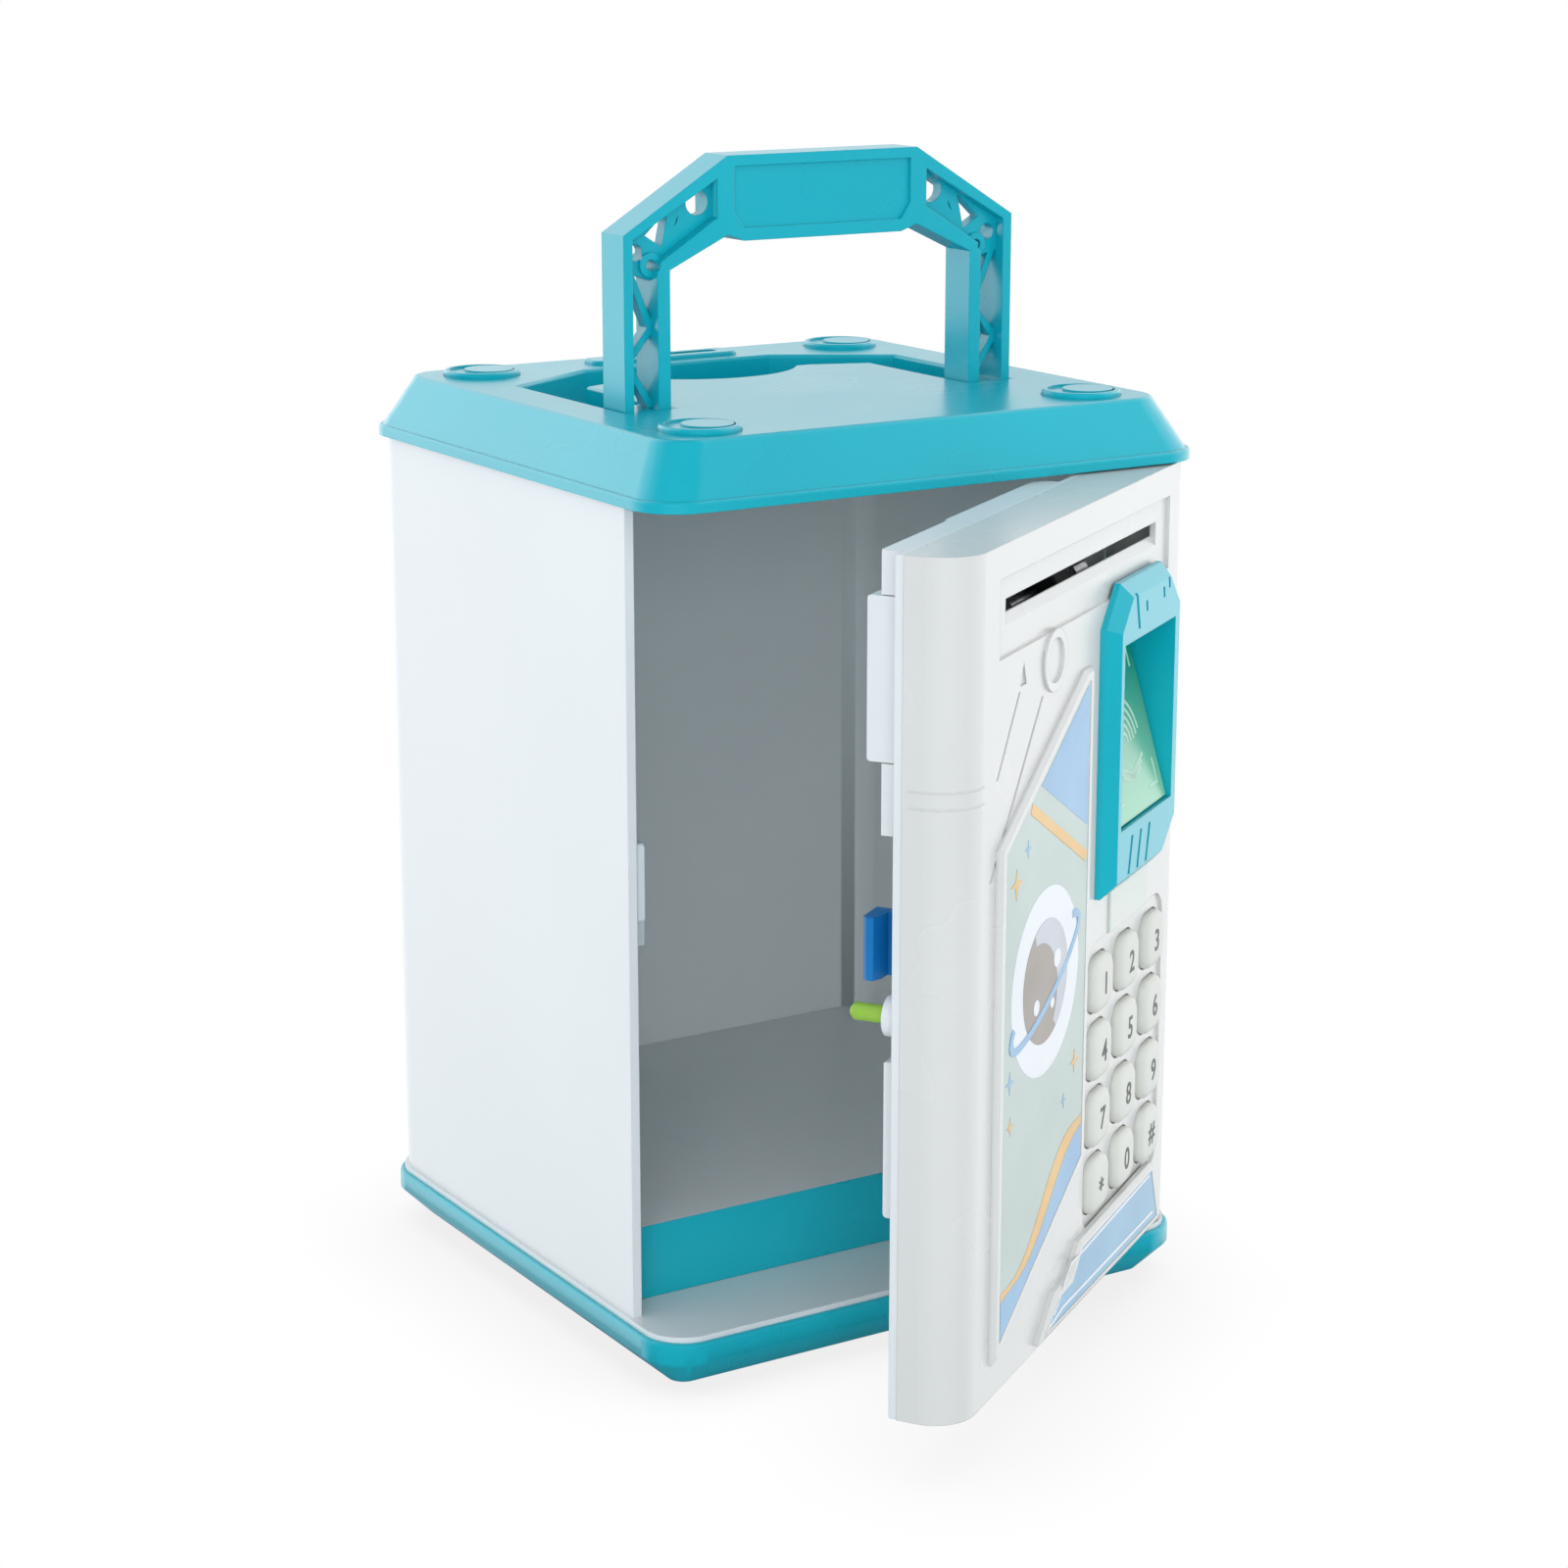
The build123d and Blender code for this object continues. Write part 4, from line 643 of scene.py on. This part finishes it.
def screw_tree(head):
    """Geometry nodes: a head on each point, stood along the given direction and turned about it by a seeded
    angle.
    """
    tree = bpy.data.node_groups.new("set_screws", "GeometryNodeTree")
    tree.interface.new_socket("Geometry", in_out="INPUT", socket_type="NodeSocketGeometry")
    aim = tree.interface.new_socket("Direction", in_out="INPUT", socket_type="NodeSocketVector")
    seed = tree.interface.new_socket("Seed", in_out="INPUT", socket_type="NodeSocketInt")
    finish = tree.interface.new_socket("Finish", in_out="INPUT", socket_type="NodeSocketMaterial")
    tree.interface.new_socket("Geometry", in_out="OUTPUT", socket_type="NodeSocketGeometry")
    inlet = node(tree, "NodeGroupInput")
    shape = node(tree, "GeometryNodeObjectInfo", Object=head)
    stand = node(tree, "FunctionNodeAlignRotationToVector", {"axis": "Z"}, Vector=inlet.outputs["Direction"])
    spin = node(tree, "FunctionNodeRandomValue", {"data_type": "FLOAT"}, n3=1.5, Seed=inlet.outputs["Seed"])
    turn = node(tree, "FunctionNodeAxisAngleToRotation", Angle=spin.outputs[1])
    both = node(tree, "FunctionNodeRotateRotation", {"rotation_space": "LOCAL"},
                Rotation=stand.outputs["Rotation"], Rotate_By=turn.outputs["Rotation"])
    spots = node(tree, "GeometryNodeInstanceOnPoints", Points=inlet.outputs["Geometry"],
                 Instance=shape.outputs["Geometry"], Rotation=both.outputs["Rotation"])
    real = node(tree, "GeometryNodeRealizeInstances", Geometry=spots.outputs["Instances"])
    coat = node(tree, "GeometryNodeSetMaterial", Geometry=real.outputs["Geometry"],
                Material=inlet.outputs["Finish"])
    node(tree, "NodeGroupOutput", Geometry=coat.outputs["Geometry"])
    return tree, aim.identifier, seed.identifier, finish.identifier


def screws(name, places, direction, radius, rise, seed, body):
    """Replaces a group of CAD screws with cross-head ones at the same places."""
    head = bpy.data.objects.new(name + "_pattern", screw_head_mesh(radius, rise))
    tree, aim_id, seed_id, finish_id = screw_tree(head)
    points = bpy.data.meshes.new(name + "_points")
    points.from_pydata([tuple(p) for p in places], [], [])
    holder = bpy.data.objects.new(name + "_holder", points)
    bpy.context.scene.collection.objects.link(holder)
    grow = holder.modifiers.new("set_screws", "NODES")
    grow.node_group = tree
    grow[aim_id] = tuple(direction)
    grow[seed_id] = seed
    grow[finish_id] = STEEL
    bpy.context.view_layer.update()
    mesh = bpy.data.meshes.new_from_object(holder.evaluated_get(bpy.context.evaluated_depsgraph_get()))
    bpy.data.objects.remove(holder)
    bpy.data.objects.remove(head)
    smooth(mesh, 35.0)
    made = settle(bpy.data.objects.new(name + "_heads", mesh), STEEL, body)
    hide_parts(name)
    return made


IN = on_door(0, 1, 0) - on_door(0, 0, 0)
SCREW_SPOTS = ((112.0, 24.0, 0.0), (112.0, 124.0, 0.0), (106.0, 178.2, 4.8), (13.0, 24.0, 0.0),
               (53.0, 95.0, 0.0), (22.0, 177.0, 0.0))
screws("door_screws", [on_door(u, DOOR_INNER + seat, z) for u, z, seat in SCREW_SPOTS], IN.normalized(),
       2.6, 1.2, 3, "door")
screws("base_screws", [Vector((x, y, 2.2)) * MM for x in (-34.5, 34.5) for y in (-26.0, 44.0)], (0, 0, -1),
       2.6, 1.2, 5, "case")
EAR_X = 58.0
screws("lid_screws", [Vector((x, y, 180.5)) * MM for x in (-EAR_X, EAR_X) for y in (-33.0, 50.0)], (0, 0, -1),
       2.6, 1.4, 8, "case")


# Stage, camera and light

CAMERA_PLACE = Vector((-390.44, -629.9, 298.85)) * MM
CAMERA_FORWARD = Vector((0.5121, 0.8217, -0.2503))
LENS_MM = 79.95
AMBIENT = 0.72
AMBIENT_COLOUR = (0.83, 0.91, 1.0, 1.0)
# Bright sides of the studio as reflections see them: middle, where each starts and ends, and its strengths
GLEAMS = (
    ((-0.36, 0.91, 0.2), 0.5, 1.0, 0.08, 2.9),
    ((0.97, 0.05, 0.24), 0.45, 0.9, 0.0, 2.1),
)
WARM = (1.0, 0.965, 0.9)
WARMEST = (1.0, 0.92, 0.8)
COOL = (0.88, 0.94, 1.0)
# Name, place in metres, width in metres, watts and colour of each lamp
LAMPS = (
    ("key_panel", (-0.9, -0.9, 1.2), 1.0, 1.0, WARM),
    ("side_panel", (-1.4, 0.2, 0.7), 0.9, 1.2, WARMEST),
    ("front_panel", (0.7, -1.5, 0.5), 0.9, 3.4, WARM),
    ("opening_panel", (-0.85, -1.3, 0.25), 0.9, 10.0, COOL),
)


def stage():
    """Studio paper: plain white to the camera apart from a soft shade close under the object."""
    mesh = bpy.data.meshes.new("studio_floor")
    mesh.from_pydata([(-3, -3, 0), (3, -3, 0), (3, 3, 0), (-3, 3, 0)], [], [(0, 1, 2, 3)])
    floor = bpy.data.objects.new("studio_floor", mesh)
    bpy.context.scene.collection.objects.link(floor)
    made, tree, shader, _ = material("studio_paper")
    shader.inputs["Base Color"].default_value = (0.8, 0.8, 0.8, 1)
    shader.inputs["Roughness"].default_value = 0.9
    near = node(tree, "ShaderNodeAmbientOcclusion", {"samples": 16}, Distance=0.04)
    shade = node(tree, "ShaderNodeMapRange", Value=near.outputs["AO"], From_Min=0.25, From_Max=0.95,
                 To_Min=0.85, To_Max=1.0)
    paper = node(tree, "ShaderNodeEmission", Strength=shade.outputs["Result"])
    path = node(tree, "ShaderNodeLightPath")
    pick = node(tree, "ShaderNodeMixShader", n0=path.outputs["Is Camera Ray"], n1=shader.outputs["BSDF"],
                n2=paper.outputs["Emission"])
    out = next(n for n in tree.nodes if n.type == "OUTPUT_MATERIAL")
    tree.links.new(pick.outputs["Shader"], out.inputs["Surface"])
    mesh.materials.append(made)
    floor.visible_glossy = False


def world():
    """White to the camera; as a reflection bright behind and to the right; as a light faintly blue."""
    sky = bpy.data.worlds.new("studio_world")
    bpy.context.scene.world = sky
    sky.use_nodes = True
    tree = sky.node_tree
    tree.nodes.clear()
    path = node(tree, "ShaderNodeLightPath")
    way = node(tree, "ShaderNodeTexCoord").outputs["Generated"]
    gleams = []
    for side, start, end, low, high in GLEAMS:
        lean = node(tree, "ShaderNodeVectorMath", {"operation": "DOT_PRODUCT"}, n0=way, n1=side)
        gleam = node(tree, "ShaderNodeMapRange", Value=lean.outputs["Value"], From_Min=start, From_Max=end,
                     To_Min=low, To_Max=high)
        gleams.append(gleam.outputs["Result"])
    both = node(tree, "ShaderNodeMath", {"operation": "ADD"}, n0=gleams[0], n1=gleams[1])
    soft = node(tree, "ShaderNodeBackground", Color=AMBIENT_COLOUR, Strength=AMBIENT)
    mirror = node(tree, "ShaderNodeBackground", Color=(1, 1, 1, 1), Strength=both.outputs["Value"])
    plain = node(tree, "ShaderNodeBackground", Color=(1, 1, 1, 1), Strength=1.0)
    lit = node(tree, "ShaderNodeMixShader", n0=path.outputs["Is Glossy Ray"], n1=soft.outputs["Background"],
               n2=mirror.outputs["Background"])
    seen = node(tree, "ShaderNodeMixShader", n0=path.outputs["Is Camera Ray"], n1=lit.outputs["Shader"],
                n2=plain.outputs["Background"])
    node(tree, "ShaderNodeOutputWorld", Surface=seen.outputs["Shader"])


def lights():
    """Large soft panels, as in a product studio, kept out of reflections."""
    for name, place, size, power, colour in LAMPS:
        lamp = bpy.data.lights.new(name, "AREA")
        lamp.shape = "SQUARE"
        lamp.size = size
        lamp.energy = power
        lamp.color = colour
        holder = bpy.data.objects.new(name, lamp)
        holder.location = place
        aim = Vector((0, 0, 0.1)) - Vector(place)
        holder.rotation_euler = aim.to_track_quat("-Z", "Y").to_euler()
        holder.visible_glossy = False
        bpy.context.scene.collection.objects.link(holder)


def camera():
    """The photograph's own viewpoint and lens."""
    lens = bpy.data.cameras.new("camera")
    lens.lens = LENS_MM
    lens.sensor_width = 36.0
    lens.clip_start = 0.01
    holder = bpy.data.objects.new("camera", lens)
    holder.location = CAMERA_PLACE
    holder.rotation_euler = CAMERA_FORWARD.to_track_quat("-Z", "Y").to_euler()
    bpy.context.scene.collection.objects.link(holder)
    bpy.context.scene.camera = holder


stage()
world()
lights()
camera()
bpy.context.scene.view_settings.view_transform = "Standard"
